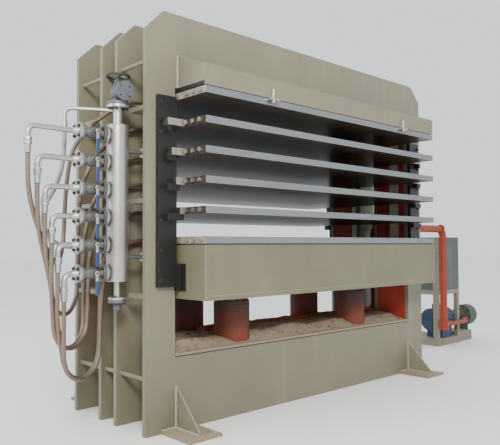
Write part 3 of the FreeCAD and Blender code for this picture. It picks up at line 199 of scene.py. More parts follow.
class Bench:
    """A material in the making: its node tree, its shader and the nodes that recur."""

    def __init__(self, name: str) -> None:
        """Starts an empty material.

        Args:
            name: the material's name.
        """
        self.material = bpy.data.materials.new(name)
        self.material.use_nodes = True
        self.tree = self.material.node_tree
        self.shader = self.tree.nodes["Principled BSDF"]
        self.spot = self.node("ShaderNodeTexCoord", output="Object")

    def node(self, kind: str, settings: dict[str, Any] | None = None, output: str | int = 0,
             **values: Any) -> Wire:
        """Adds a node, sets it up and fills its sockets.

        Args:
            kind: the node's type.
            settings: properties to set first.
            output: the name or number of the socket to return.
            values: the sockets' values or wires, named with underscores for spaces, or as _0 for the
                socket numbered 0.

        Returns:
            The chosen output.
        """
        node = self.tree.nodes.new(kind)
        for word, setting in (settings or {}).items():
            setattr(node, word, setting)
        for word, value in values.items():
            key = word.replace("_", " ")
            socket = node.inputs[int(key[1:])] if key[1:].isdigit() else node.inputs[key]
            if isinstance(value, Wire):
                self.tree.links.new(value.socket, socket)
            else:
                socket.default_value = (*value, 1.0) if socket.type == "RGBA" else value
        return Wire(self.tree, node.outputs[output])

    def stretched(self, scale: Point) -> Wire:
        """The object's coordinates, scaled along each axis."""
        return self.node("ShaderNodeMapping", Vector=self.spot, Scale=scale)

    def noise(self, scale: float, detail: float, roughness: float, where: Wire | None = None) -> Wire:
        """Cloudy noise, about 0.5 on average."""
        return self.node("ShaderNodeTexNoise", Vector=where or self.spot, Scale=scale, Detail=detail,
                         Roughness=roughness)

    def mix(self, share: Wire | float, first: Wire | Colour, second: Wire | Colour) -> Wire:
        """One colour turned into another by a share."""
        return self.node("ShaderNodeMix", {"data_type": "RGBA"}, output=2, _0=share, _6=first, _7=second)

    def part(self, axis: int, vector: Wire | None = None) -> Wire:
        """One coordinate of a vector, which is the object's own place if none is given."""
        return self.node("ShaderNodeSeparateXYZ", output=axis, Vector=vector or self.spot)

    def facing_up(self) -> Wire:
        """1 where a surface looks up, 0 where it is upright, below 0 underneath."""
        return self.part(2, self.node("ShaderNodeNewGeometry", output="Normal"))

    def rims(self, radius: float) -> Wire:
        """1 on the edges of a piece and 0 away from them.

        Args:
            radius: how far an edge reaches, in metres.

        Returns:
            The share.
        """
        soft = self.node("ShaderNodeBevel", {"samples": 4}, Radius=radius)
        hard = self.node("ShaderNodeNewGeometry", output="Normal")
        same = self.node("ShaderNodeVectorMath", {"operation": "DOT_PRODUCT"}, output="Value",
                         _0=soft, _1=hard)
        return same.above(0.995, 0.80)

    def crevices(self, reach: float) -> Wire:
        """1 deep in a corner between pieces and 0 on open faces."""
        open_share = self.node("ShaderNodeAmbientOcclusion", {"samples": 4}, output="AO", Distance=reach)
        return 1.0 - open_share

    def bump(self, height: Wire, distance: float, strength: float = 1.0) -> None:
        """Raises the surface by a height from 0 to 1.

        Args:
            height: the height.
            distance: what a height of 1 stands for, in metres.
            strength: how much of it shows.
        """
        normal = self.node("ShaderNodeBump", Height=height, Distance=distance, Strength=strength)
        self.tree.links.new(normal.socket, self.shader.inputs["Normal"])

    def finish(self, colour: Wire | Colour, roughness: Wire | float, metallic: Wire | float = 0.0,
               **constants: Wire | float) -> bpy.types.Material:
        """Feeds the shader.

        Args:
            colour: base colour.
            roughness: roughness.
            metallic: share of bare metal.
            constants: other sockets that are the same all over.

        Returns:
            The material.
        """
        feeds = {"Base Color": colour, "Roughness": roughness, "Metallic": metallic}
        feeds |= {word.replace("_", " "): value for word, value in constants.items()}
        for word, value in feeds.items():
            socket = self.shader.inputs[word]
            if isinstance(value, Wire):
                self.tree.links.new(value.socket, socket)
            else:
                socket.default_value = (*value, 1.0) if isinstance(value, tuple) else value
        return self.material


# -------------------------------------------------------------------- finishes


def shade(colour: Colour, factor: float) -> Colour:
    """A colour made lighter or darker, no channel above 1."""
    return tuple(min(1.0, channel * factor) for channel in colour)


@dataclass(frozen=True)
class Enamel:
    """Brushed or sprayed machine enamel that has stood in a dusty yard."""

    name: str
    colour: Colour
    dust: Colour = (0.46, 0.40, 0.31)
    metal: Colour = (0.33, 0.30, 0.27)
    dusty: float = 0.35
    worn: float = 0.6
    gloss: float = 0.42
    uneven: float = 0.10
    rim: float = 0.0025
    # how far the paint turns towards a tint colour lower down, that colour, and the heights where the turn
    # starts and where it is full
    low_tint: float = 0.0
    tint: Colour = (0.085, 0.072, 0.042)
    tint_top: float = 1.5
    tint_bottom: float = 0.1

    def make(self) -> bpy.types.Material:
        """Builds the material."""
        bench = Bench(self.name)
        broad = bench.noise(0.9, 5.0, 0.6)
        runs = bench.noise(2.2, 3.0, 0.5, bench.stretched((3.0, 3.0, 0.35)))
        fine = bench.noise(55.0, 3.0, 0.6)
        peel = bench.noise(260.0, 2.0, 0.5)
        light = shade(self.colour, 1 + self.uneven * 1.6)
        deep = shade(self.colour, 1 - self.uneven * 1.9)
        colour = bench.mix((broad * 0.8 + runs * 0.2).above(0.30, 0.70), deep, light)
        # Tinted towards the bottom: the tint comes in below tint_top and is full below tint_bottom; on the
        # frame it is a darker olive brown.
        if self.low_tint:
            low = bench.part(2).above(self.tint_top, self.tint_bottom) * (0.7 + 0.3 * runs)
            colour = bench.mix(low * self.low_tint, colour, self.tint)
        settled = bench.facing_up().above(0.35, 0.9) * (0.55 + 0.45 * fine)
        stained = (runs.above(0.55, 0.78) * 0.35 + fine.above(0.60, 0.80) * 0.25) * broad.above(0.40, 0.65)
        corner = bench.crevices(0.05).above(0.35, 0.9) * 0.5
        dust = ((settled + stained) * self.dusty * 1.6 + corner * self.dusty).held()
        colour = bench.mix(dust, colour, self.dust)
        chipped = bench.rims(self.rim) * bench.noise(38.0, 4.0, 0.7).above(0.46, 0.60) * self.worn
        colour = bench.mix(chipped, colour, self.metal)
        roughness = self.gloss + dust * 0.35 + fine * 0.10 - chipped * 0.05
        bench.bump(peel * 0.35 + fine * 0.4 + chipped * -0.6, 0.0006)
        return bench.finish(colour, roughness, chipped * 0.6, Specular_IOR_Level=0.45)


@dataclass(frozen=True)
class MilledSteel:
    """Ground or milled steel with fine lines along X, oil stains and a little rust."""

    name: str
    colour: Colour
    stain: Colour = (0.20, 0.15, 0.11)
    rust: Colour = (0.30, 0.13, 0.06)
    rusty: float = 0.25
    shine: float = 0.35
    metal: float = 0.75

    def make(self) -> bpy.types.Material:
        """Builds the material."""
        bench = Bench(self.name)
        lines = bench.noise(14.0, 5.0, 0.75, bench.stretched((0.5, 60.0, 60.0)))
        cloud = bench.noise(2.6, 5.0, 0.6)
        spots = bench.noise(26.0, 5.0, 0.7)
        colour = bench.mix((lines * 0.55 + cloud * 0.45).above(0.35, 0.65), shade(self.colour, 0.82),
                           shade(self.colour, 1.18))
        stained = cloud.above(0.52, 0.72) * 0.45
        colour = bench.mix(stained, colour, self.stain)
        rusted = (spots.above(0.58, 0.72) * cloud.above(0.44, 0.62) + bench.rims(0.003) * 0.35) * self.rusty
        colour = bench.mix(rusted.held(), colour, self.rust)
        roughness = self.shine + lines * 0.16 + rusted * 0.4
        bench.bump(lines * 0.5 + rusted * 0.4, 0.0004)
        return bench.finish(colour, roughness, self.metal - rusted.held() * self.metal)


@dataclass(frozen=True)
class PlatenSteel:
    """A heated platen: milled pale edges, flat faces painted very dark (partly the steel's polish, partly
    painted shade), and brown ends with paler spots.
    """

    name: str
    edge: Colour = (0.235, 0.250, 0.262)
    face: Colour = (0.058, 0.044, 0.031)
    end: Colour = (0.030, 0.024, 0.018)
    lug: Colour = (0.34, 0.345, 0.31)
    half_length: float = 1.3505

    def make(self) -> bpy.types.Material:
        """Builds the material."""
        bench = Bench(self.name)
        lines = bench.noise(14.0, 5.0, 0.75, bench.stretched((0.5, 60.0, 60.0)))
        cloud = bench.noise(2.6, 5.0, 0.6)
        spots = bench.noise(30.0, 5.0, 0.7)
        flat = bench.facing_up().size().above(0.5, 0.7)
        normal = bench.node("ShaderNodeNewGeometry", output="Normal")
        endways = bench.part(0, normal).size().above(0.5, 0.7)
        colour = bench.mix((lines * 0.5 + cloud * 0.5).above(0.35, 0.65), shade(self.edge, 0.8),
                           shade(self.edge, 1.15))
        colour = bench.mix(cloud.above(0.50, 0.72) * 0.4, colour, (0.22, 0.17, 0.12))
        beyond = bench.part(0).size().above(self.half_length, self.half_length + 0.0005)
        colour = bench.mix(beyond, colour, self.lug)
        # The ends are painted brown with paler spots.
        spotted_end = bench.mix(spots.above(0.4, 0.7), self.end, shade(self.end, 2.4))
        colour = bench.mix(endways, colour, spotted_end)
        # Painted shade in part: the flat faces, top and bottom, are painted very dark for the shade under the
        # platens as well as for the steel's polish.
        dark_face_and_shade = bench.mix(cloud.above(0.35, 0.65), shade(self.face, 0.75), self.face)
        colour = bench.mix(flat, colour, dark_face_and_shade)
        worn = bench.rims(0.002) * spots.above(0.42, 0.60) * 0.6
        colour = bench.mix(worn, colour, (0.45, 0.44, 0.42))
        roughness = 0.34 + lines * 0.12 + endways * 0.30 - flat * 0.03
        bench.bump(lines * 0.5 + spots * 0.2, 0.0002)
        return bench.finish(colour, roughness, (0.62 - flat * 0.62 - endways * 0.4).held(),
                            Specular_IOR_Level=0.16, Coat_Weight=flat * 0.06, Coat_Roughness=0.07)


@dataclass(frozen=True)
class Primer:
    """Red-oxide primer, chalky, with dark oil marks and pale dust."""

    name: str
    colour: Colour
    dark: Colour = (0.07, 0.025, 0.018)
    dust: Colour = (0.40, 0.27, 0.20)
    oily: float = 0.5
    dusty: float = 0.3
    painted_top_shade: float = 0.0

    def make(self) -> bpy.types.Material:
        """Builds the material."""
        bench = Bench(self.name)
        cloud = bench.noise(3.2, 5.0, 0.6)
        runs = bench.noise(7.0, 4.0, 0.6, bench.stretched((2.5, 2.5, 0.25)))
        fine = bench.noise(90.0, 3.0, 0.6)
        colour = bench.mix(cloud.above(0.35, 0.65), shade(self.colour, 0.8), shade(self.colour, 1.25))
        colour = bench.mix(runs.above(0.50, 0.72) * self.oily, colour, self.dark)
        # Painted shade: darker towards the top, where the cylinders stand under the table.
        if self.painted_top_shade:
            colour = bench.mix(bench.part(2).above(0.58, 0.78) * self.painted_top_shade, colour, self.dark)
        dust = (bench.facing_up().above(0.3, 0.9) * 0.9 + fine.above(0.5, 0.75) * 0.25) * self.dusty
        colour = bench.mix(dust.held(), colour, self.dust)
        bench.bump(fine, 0.0005, 0.6)
        return bench.finish(colour, 0.62 + fine * 0.2 - runs.above(0.5, 0.72) * 0.25 * self.oily)


@dataclass(frozen=True)
class Casting:
    """A painted or bare casting with a sandy skin."""

    name: str
    colour: Colour
    # dark colour of the painted shade in crevices and of the grime
    crevice_shade_and_grime: Colour = (0.05, 0.045, 0.04)
    metal: float = 0.0
    shine: float = 0.45
    grain: float = 0.0005

    def make(self) -> bpy.types.Material:
        """Builds the material."""
        bench = Bench(self.name)
        cloud = bench.noise(11.0, 4.0, 0.6)
        sand = bench.noise(420.0, 3.0, 0.6)
        colour = bench.mix(cloud.above(0.35, 0.65), shade(self.colour, 0.8), shade(self.colour, 1.15))
        # Painted shade: darker in the crevices where pieces meet, together with darker stains from the cloud
        # noise.
        crevice_shade_and_grime = (bench.crevices(0.012).above(0.3, 0.9) * 0.75 + cloud.above(0.58, 0.74) * 0.3).held()
        colour = bench.mix(crevice_shade_and_grime, colour, self.crevice_shade_and_grime)
        worn = bench.rims(0.0012) * cloud.above(0.42, 0.58) * 0.5
        colour = bench.mix(worn, colour, (0.55, 0.53, 0.50))
        bench.bump(sand + cloud * 0.5, self.grain)
        return bench.finish(colour, self.shine + sand * 0.15 + crevice_shade_and_grime * 0.2, self.metal)


@dataclass(frozen=True)
class Machined:
    """Turned or plated metal on small pieces."""

    name: str
    colour: Colour
    shine: float = 0.3
    tarnish: Colour = (0.10, 0.08, 0.06)
    tarnished: float = 0.5

    def make(self) -> bpy.types.Material:
        """Builds the material."""
        bench = Bench(self.name)
        cloud = bench.noise(48.0, 4.0, 0.65)
        fine = bench.noise(600.0, 2.0, 0.5)
        marked = (cloud.above(0.48, 0.70) * 0.7 + bench.crevices(0.008).above(0.3, 0.9) * 0.8).held()
        colour = bench.mix(marked * self.tarnished, self.colour, self.tarnish)
        bench.bump(fine, 0.0001, 0.5)
        return bench.finish(colour, self.shine + cloud * 0.15 + marked * 0.2, 1.0 - marked * 0.45)


@dataclass(frozen=True)
class Braid:
    """A hose's outer braid: crossed bundles of strands, which follow the hose's own map."""

    name: str
    colour: Colour
    gap: Colour
    starts: int = 6
    pitch: float = 2.4
    metal: float = 0.65
    shine: float = 0.30

    def make(self) -> bpy.types.Material:
        """Builds the material."""
        bench = Bench(self.name)
        lay = bench.node("ShaderNodeUVMap", {"uv_map": "around"})
        around = bench.part(0, lay) * (2 * math.pi * self.starts)
        along = bench.part(1, lay) * (2 * math.pi * self.starts / self.pitch)
        right = (around + along).sine()
        left = (around - along).sine()
        over = (around * 0.5 + math.pi / 4).sine() * (along * 0.5).sine()
        bundle = right.size().most(left.size())
        strands = ((around * 5.0 + along * 5.0).sine() * 0.5 + 0.5) * over.above(-0.1, 0.1)
        strands = strands + ((around * 5.0 - along * 5.0).sine() * 0.5 + 0.5) * over.above(0.1, -0.1)
        height = bundle * 0.7 + strands * 0.3
        tint = bench.noise(9.0, 5.0, 0.65)
        colour = bench.mix(height.above(0.25, 0.85), self.gap, self.colour)
        colour = bench.mix(tint.above(0.45, 0.75) * 0.55, colour, (0.24, 0.17, 0.12))
        bench.bump(height, 0.0012)
        return bench.finish(colour, self.shine + tint * 0.25, self.metal)


@dataclass(frozen=True)
class Board:
    """Pressed heat board: dark grey, fibrous, with pale flecks."""

    name: str = "heat_board"
    colour: Colour = (0.10, 0.098, 0.09)

    def make(self) -> bpy.types.Material:
        """Builds the material."""
        bench = Bench(self.name)
        fibre = bench.noise(60.0, 5.0, 0.7, bench.stretched((1.0, 1.0, 9.0)))
        colour = bench.mix(fibre.above(0.4, 0.7), self.colour, shade(self.colour, 2.0))
        bench.bump(fibre, 0.0008)
        return bench.finish(colour, 0.85)


@dataclass(frozen=True)
class Grit:
    """Sand, mill scale and chips swept together."""

    name: str
    colour: Colour = (0.42, 0.34, 0.25)

    def make(self) -> bpy.types.Material:
        """Builds the material."""
        bench = Bench(self.name)
        grains = bench.noise(160.0, 5.0, 0.8)
        patch = bench.noise(9.0, 4.0, 0.6)
        colour = bench.mix(grains.above(0.35, 0.65), shade(self.colour, 0.45), self.colour)
        colour = bench.mix(patch.above(0.5, 0.7) * 0.5, colour, (0.30, 0.13, 0.07))
        bench.bump(grains, 0.002)
        return bench.finish(colour, 0.9)


@dataclass(frozen=True)
class Weld:
    """A weld seam: ripples across it, pale where it was brushed."""

    name: str
    colour: Colour

    def make(self) -> bpy.types.Material:
        """Builds the material."""
        bench = Bench(self.name)
        cloud = bench.noise(30.0, 4.0, 0.6)
        colour = bench.mix(cloud.above(0.35, 0.7), shade(self.colour, 0.75), self.colour)
        bench.bump(bench.noise(170.0, 3.0, 0.6), 0.001)
        return bench.finish(colour, 0.5 + cloud * 0.2)


class Finishes:
    """Every finish on the press, made once and handed out by its field's name."""

    def __init__(self) -> None:
        """Makes the materials."""
        taupe = (0.190, 0.179, 0.122)
        self.frame_paint = Enamel("frame_paint", taupe, dusty=0.26, uneven=0.09, low_tint=0.40).make()
        self.table_paint = Enamel("table_paint", (0.149, 0.138, 0.086), dusty=0.22).make()
        self.foot_paint = Enamel("foot_paint", taupe, dusty=0.30, low_tint=1.0, tint=(0.23, 0.16, 0.095),
                                 tint_top=0.030, tint_bottom=0.021).make()
        self.deck_paint = Enamel("deck_paint", (0.24, 0.195, 0.13), dust=(0.48, 0.38, 0.27),
                                 dusty=0.9).make()
        # The cylinders' primer is darkened on its upper part as painted shade under the table.
        self.red_oxide = Primer("red_oxide", (0.16, 0.030, 0.012), (0.018, 0.009, 0.007),
                                (0.17, 0.095, 0.055), painted_top_shade=0.85).make()
        self.liner_red = Primer("liner_red", (0.36, 0.030, 0.014), oily=0.45).make()
        self.platen_steel = PlatenSteel("platen_steel").make()
        self.end_platen_steel = PlatenSteel("end_platen_steel", end=(0.20, 0.178, 0.140)).make()
        self.guide_steel = MilledSteel("guide_steel", (0.42, 0.385, 0.32), rusty=0.7, metal=0.25).make()
        self.ram_steel = MilledSteel("ram_steel", (0.10, 0.085, 0.075), rusty=0.35, shine=0.25).make()
        self.rail_black = Enamel("rail_black", (0.009, 0.009, 0.009), dusty=0.10, worn=0.8, gloss=0.35).make()
        self.board = Board().make()
        self.brass = Machined("brass", (0.46, 0.33, 0.17)).make()
        self.plug_steel = Machined("plug_steel", (0.40, 0.345, 0.285), tarnished=0.8).make()
        self.plug_painted = Enamel("plug_painted", (0.19, 0.175, 0.13), rim=0.001).make()
        self.zinc = Machined("zinc", (0.50, 0.49, 0.46)).make()
        self.black_bolt = Machined("black_bolt", (0.06, 0.06, 0.058), tarnished=0.7).make()
        self.header_silver = MilledSteel("header_silver", (0.46, 0.46, 0.45), rusty=0.10, shine=0.26,
                                         metal=0.85).make()
        self.flange_grey = Casting("flange_grey", (0.115, 0.115, 0.108), metal=0.35).make()
        self.valve_dark = Casting("valve_dark", (0.11, 0.115, 0.13), metal=0.3).make()
        self.lever_blue = Enamel("lever_blue", (0.016, 0.035, 0.12), dusty=0.12, worn=0.5, rim=0.001).make()
        self.wheel_dark = Casting("wheel_dark", (0.045, 0.045, 0.048), metal=0.4).make()
        self.gasket = Board("gasket", (0.03, 0.03, 0.03)).make()
        self.hose_tan = Braid("hose_tan", (0.25, 0.19, 0.145), (0.030, 0.020, 0.014)).make()
        self.hose_grey = Braid("hose_grey", (0.42, 0.41, 0.39), (0.10, 0.10, 0.10)).make()
        self.oil_red = Enamel("oil_red", (0.25, 0.024, 0.005), dust=(0.26, 0.13, 0.08), dusty=0.30).make()
        # Painted shade: the whole oil tank is painted the dark slate grey of its shaded front face.
        self.tank_painted_shade_grey = Enamel("tank_painted_shade_grey", (0.060, 0.066, 0.066), dusty=0.30).make()
        self.unit_taupe = Enamel("unit_taupe", (0.19, 0.175, 0.128), dusty=0.35).make()
        self.motor_blue = Enamel("motor_blue", (0.012, 0.032, 0.075), dusty=0.3, rim=0.0015).make()
        self.pump_green = Casting("pump_green", (0.060, 0.078, 0.055)).make()
        self.seam = Weld("seam", (0.44, 0.42, 0.37)).make()
        self.painted_seam = Weld("painted_seam", (0.25, 0.225, 0.18)).make()
        self.grit = Grit("grit").make()
        self.chips = Grit("chips", (0.20, 0.17, 0.14)).make()
        self.floor = self._floor()

    @staticmethod
    def _floor() -> bpy.types.Material:
        """The studio's pale floor."""
        bench = Bench("studio_floor")
        return bench.finish((0.93, 0.93, 0.92), 0.75)


# ----------------------------------------------------------------- mesh making

RIPPLE = 0.012
MOST_RIPPLES = 160
SAME_PLACE = 1e-6
SHARP = 0.6


def edges_of(verts: Iterable[bmesh.types.BMVert]) -> list[bmesh.types.BMEdge]:
    """The edges that meet some vertices, each once and in a fixed order."""
    return list(dict.fromkeys(edge for vert in verts for edge in vert.link_edges))


def grow(mesh: bmesh.types.BMesh, ring: Iterable[bmesh.types.BMEdge]) -> tuple[
        list[bmesh.types.BMVert], list[bmesh.types.BMEdge]]:
    """Extrudes a ring of edges where it lies.

    Args:
        mesh: the mesh that holds it.
        ring: its edges.

    Returns:
        The new ring's vertices and its edges.
    """
    made = bmesh.ops.extrude_edge_only(mesh, edges=ring)["geom"]
    verts = [item for item in made if isinstance(item, bmesh.types.BMVert)]
    edges = [item for item in made if isinstance(item, bmesh.types.BMEdge)
             and all(v in verts for v in item.verts)]
    return verts, edges


def finished(name: str, mesh: bmesh.types.BMesh, finish: bpy.types.Material) -> bpy.types.Object:
    """Makes an object of a mesh and sets it in the scene.

    Args:
        name: the object's name.
        mesh: the mesh, which is used up.
        finish: its material.

    Returns:
        The object.
    """
    data = bpy.data.meshes.new(name)
    mesh.to_mesh(data)
    mesh.free()
    data.materials.append(finish)
    piece = bpy.data.objects.new(name, data)
    bpy.context.scene.collection.objects.link(piece)
    return piece


class Workpiece:
    """A mesh in the making, with the shapes that a machine shop would cut."""

    def __init__(self) -> None:
        """Starts with nothing."""
        self.mesh = bmesh.new()

    def _settle(self, verts: Iterable[bmesh.types.BMVert], bevel: float) -> None:
        """Breaks the sharp edges of what was just added.

        Args:
            verts: its vertices.
            bevel: the width of the broken edge, in metres.
        """
        if bevel <= 0:
            return
        sharp = [edge for edge in edges_of(verts) if edge.is_manifold and edge.calc_face_angle() > SHARP]
        bmesh.ops.bevel(self.mesh, geom=sharp, offset=bevel, offset_type="OFFSET", affect="EDGES",
                        segments=2, profile=0.5, material=-1, clamp_overlap=True)

    def block(self, low: Sequence[float], high: Sequence[float], bevel: float = 0.001) -> "Workpiece":
        """Adds a block between two corners.

        Args:
            low: its lowest corner.
            high: its highest corner.
            bevel: the width of its broken edges.

        Returns:
            This workpiece.
        """
        size = Vector(high) - Vector(low)
        middle = (Vector(high) + Vector(low)) / 2
        matrix = Matrix.Translation(middle) @ Matrix.Diagonal((*size, 1.0))
        made = bmesh.ops.create_cube(self.mesh, size=1.0, matrix=matrix)
        self._settle(made["verts"], bevel)
        return self

    def bar(self, axis: Axis, span: tuple[float, float], across: tuple[float, float], radius: float,
            bevel: float = 0.001, segments: int = 32, turn: float = 0.0) -> "Workpiece":
        """Adds a round or many-sided bar along an axis.

        Args:
            axis: its direction.
            span: where it starts and ends on that axis.
            across: its centre on the other two axes.
            radius: its radius, to its corners.
            bevel: the width of its broken edges.
            segments: its number of sides.
            turn: a turn about its own axis, in degrees.

        Returns:
            This workpiece.
        """
        middle = axis.at((span[0] + span[1]) / 2, *across)
        matrix = Matrix.Translation(middle) @ axis.value @ Matrix.Rotation(math.radians(turn), 4, "Z")
        made = bmesh.ops.create_cone(self.mesh, cap_ends=True, segments=segments, radius1=radius,
                                     radius2=radius, depth=abs(span[1] - span[0]), matrix=matrix)
        self._settle(made["verts"], bevel)
        return self

    def hexagon(self, axis: Axis, span: tuple[float, float], across: tuple[float, float], flats: float,
                turn: float = 0.0) -> "Workpiece":
        """Adds a hexagonal nut or bolt head, by its width across flats."""
        return self.bar(axis, span, across, flats / math.sqrt(3), 0.0012, 6, turn=turn)

    def turned(self, axis: Axis, start: float, across: tuple[float, float],
               outline: Sequence[tuple[float, float]], steps: int = 40) -> "Workpiece":
        """Turns an outline about an axis, as on a lathe.

        Args:
            axis: the axis.
            start: where the outline's zero lies on it.
            across: the axis's place on the other two.
            outline: distances along the axis and radii; it may close on the axis with a radius of 0.
            steps: faces around.

        Returns:
            This workpiece.
        """
        place = Matrix.Translation(axis.at(start, *across)) @ axis.value
        rim = [self.mesh.verts.new(place @ Vector((radius, 0.0, along))) for along, radius in outline]
        edges = [self.mesh.edges.new(pair) for pair in zip(rim, rim[1:])]
        direction = (place.to_3x3() @ Vector((0.0, 0.0, 1.0))).normalized()
        bmesh.ops.spin(self.mesh, geom=rim + edges, cent=place.translation, axis=direction,
                       angle=2 * math.pi, steps=steps, use_merge=True, use_duplicate=False)
        return self

    def bead(self, start: Sequence[float], end: Sequence[float], width: float) -> "Workpiece":
        """Lays a weld seam: a bar with ripples along it, sunk to its middle in the joint.

        Args:
            start: one end.
            end: the other end.
            width: its width, in metres.

        Returns:
            This workpiece.
        """
        run = Vector(end) - Vector(start)
        steps = max(2, min(MOST_RIPPLES, int(run.length / RIPPLE)))
        turn = Vector((0, 0, 1)).rotation_difference(run.normalized()).to_matrix().to_4x4()
        made = bmesh.ops.create_circle(self.mesh, cap_ends=False, segments=8, radius=width / 2,
                                       matrix=Matrix.Translation(Vector(start)) @ turn)
        ring = edges_of(made["verts"])
        bmesh.ops.holes_fill(self.mesh, edges=ring, sides=0)
        for n in range(steps):
            verts, ring = grow(self.mesh, ring)
            bmesh.ops.translate(self.mesh, verts=verts, vec=run / steps)
            swell = 1.0 + (0.16 if n % 2 == 0 else -0.14)
            centre = sum((v.co for v in verts), Vector()) / len(verts)
            bmesh.ops.scale(self.mesh, verts=verts, vec=(swell,) * 3, space=Matrix.Translation(-centre))
        bmesh.ops.holes_fill(self.mesh, edges=ring, sides=0)
        return self

    def hoop(self, centre: Sequence[float], axis: Axis, radius: float, thickness: float,
             steps: int = 48) -> "Workpiece":
        """Adds a round ring of round bar.

        Args:
            centre: its centre.
            axis: the axis that it goes round.
            radius: from its centre to the middle of the bar.
            thickness: the bar's own radius.
            steps: faces around.

        Returns:
            This workpiece.
        """
        place = Matrix.Translation(Vector(centre)) @ axis.value
        side = place @ Matrix.Translation((radius, 0, 0)) @ Matrix.Rotation(math.radians(90), 4, "X")
        made = bmesh.ops.create_circle(self.mesh, cap_ends=False, segments=12, radius=thickness, matrix=side)
        ring = edges_of(made["verts"])
        direction = (place.to_3x3() @ Vector((0, 0, 1))).normalized()
        bmesh.ops.spin(self.mesh, geom=made["verts"] + ring, cent=place.translation, axis=direction,
                       angle=2 * math.pi, steps=steps, use_merge=True, use_duplicate=False)
        return self

    def done(self, name: str, finish: bpy.types.Material, body: str = FRAME_BODY,
             replaces: Sequence[str] = (), smooth: float = 35.0) -> bpy.types.Object:
        """Turns the mesh into a finished piece.

        Args:
            name: the piece's name.
            finish: its material.
            body: the body it rides on.
            replaces: nodes of the frame that it stands for.
            smooth: the angle above which an edge stays sharp, in degrees.

        Returns:
            The piece.
        """
        bmesh.ops.remove_doubles(self.mesh, verts=self.mesh.verts, dist=SAME_PLACE)
        bmesh.ops.recalc_face_normals(self.mesh, faces=self.mesh.faces)
        limit = math.radians(smooth)
        for face in self.mesh.faces:
            face.smooth = True
        for edge in self.mesh.edges:
            edge.smooth = edge.is_manifold and edge.calc_face_angle() < limit
        piece = finished(name, self.mesh, finish)
        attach(piece, body)
        if replaces:
            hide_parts(*replaces)
        return piece


def dress(finish: bpy.types.Material, *nodes: str) -> None:
    """Gives nodes of the frame a material.

    Args:
        finish: the material.
        nodes: the nodes' names.
    """
    for node in nodes:
        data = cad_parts[node].data
        data.materials.clear()
        data.materials.append(finish)


def corners(node: str) -> tuple[Vector, Vector]:
    """A node's lowest and highest corners."""
    low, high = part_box(node)
    return Vector(low), Vector(high)


# ---------------------------------------------------------------------- hoses


@dataclass
class Hose:
    """A braided hose that leaves one fitting and goes into another."""

    node: str
    route: list[Point]
    length: float
    finish: bpy.types.Material
    slot: str
    far_body: str = FRAME_BODY
    radius: float = 0.014
    sides: int = 20
    bend_from: Point = (-1.90, 0.0, 0.0)
    bend_to: Point = (-1.405, 0.0, 0.0)
    spline_order: int = 3
    spline_steps: int = 12

    def centreline(self) -> list[Vector]:
        """The smooth line through the route, as the route's own spline gives it.

        Returns:
            Points along it, close together.
        """
        curve = bpy.data.curves.new(self.node + "_line", "CURVE")
        curve.dimensions = "3D"
        spline = curve.splines.new("NURBS")
        spline.points.add(len(self.route) - 1)
        for knot, place in zip(spline.points, self.route):
            knot.co = (*place, 1.0)
        spline.order_u = self.spline_order
        spline.use_endpoint_u = True
        spline.resolution_u = self.spline_steps
        holder = bpy.data.objects.new(self.node + "_line", curve)
        line = bpy.data.meshes.new_from_object(holder)
        points = [v.co.copy() for v in line.vertices]
        bpy.data.objects.remove(holder)
        bpy.data.meshes.remove(line)
        bpy.data.curves.remove(curve)
        return points

    def sweep(self, line: list[Vector]) -> tuple[bmesh.types.BMesh, list[float]]:
        """Sweeps a circle along a line and closes both ends.

        Args:
            line: points along the line.

        Returns:
            The mesh, whose vertices know their ring and their seat on it, and each ring's distance along
            the line.
        """
        mesh = bmesh.new()
        ring_of = mesh.verts.layers.int.new("ring")
        seat_of = mesh.verts.layers.int.new("seat")
        heading = (line[1] - line[0]).normalized()
        turn = Vector((0, 0, 1)).rotation_difference(heading).to_matrix().to_4x4()
        made = bmesh.ops.create_circle(mesh, cap_ends=False, segments=self.sides, radius=self.radius,
                                       matrix=Matrix.Translation(line[0]) @ turn)
        for seat, vert in enumerate(made["verts"]):
            vert[seat_of] = seat
        ring = edges_of(made["verts"])
        bmesh.ops.holes_fill(mesh, edges=ring, sides=0)
        lengths = [0.0]
        for number in range(1, len(line)):
            before = (line[number] - line[number - 1]).normalized()
            after = (line[min(number + 1, len(line) - 1)] - line[number]).normalized()
            aim = (before + after).normalized() if after.length > 0 else before
            verts, ring = grow(mesh, ring)
            bmesh.ops.rotate(mesh, verts=verts, cent=line[number - 1],
                             matrix=heading.rotation_difference(aim).to_matrix())
            bmesh.ops.translate(mesh, verts=verts, vec=line[number] - line[number - 1])
            for vert in verts:
                vert[ring_of] = number
            heading = aim
            lengths.append(lengths[-1] + (line[number] - line[number - 1]).length)
        bmesh.ops.holes_fill(mesh, edges=ring, sides=0)
        bmesh.ops.recalc_face_normals(mesh, faces=mesh.faces)
        return mesh, lengths

    def lay_map(self, mesh: bmesh.types.BMesh, lengths: list[float]) -> None:
        """Lays the braid's map round and along the hose, and keeps its two ends flat.

        Args:
            mesh: the swept mesh.
            lengths: each ring's distance along the line.
        """
        ring_of = mesh.verts.layers.int["ring"]
        seat_of = mesh.verts.layers.int["seat"]
        lay = mesh.loops.layers.uv.new("around")
        girth = 2 * math.pi * self.radius
        for face in mesh.faces:
            seats = [loop.vert[seat_of] for loop in face.loops]
            wraps = max(seats) - min(seats) > self.sides / 2
            for loop in face.loops:
                seat = loop.vert[seat_of]
                around = (seat + self.sides if wraps and seat < self.sides / 2 else seat) / self.sides
                loop[lay].uv = (around, lengths[loop.vert[ring_of]] / girth)
            face.smooth = len(face.verts) < self.sides

    def build(self) -> bpy.types.Object:
        """Returns:
            The piece.
        """
        line = self.centreline()
        mesh, lengths = self.sweep(line)
        self.lay_map(mesh, lengths)
        piece = finished(self.node + "_braid", mesh, self.finish)
        if self.far_body == FRAME_BODY:
            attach(piece, FRAME_BODY)
        else:
            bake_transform(piece)
        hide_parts(self.node)
        return piece


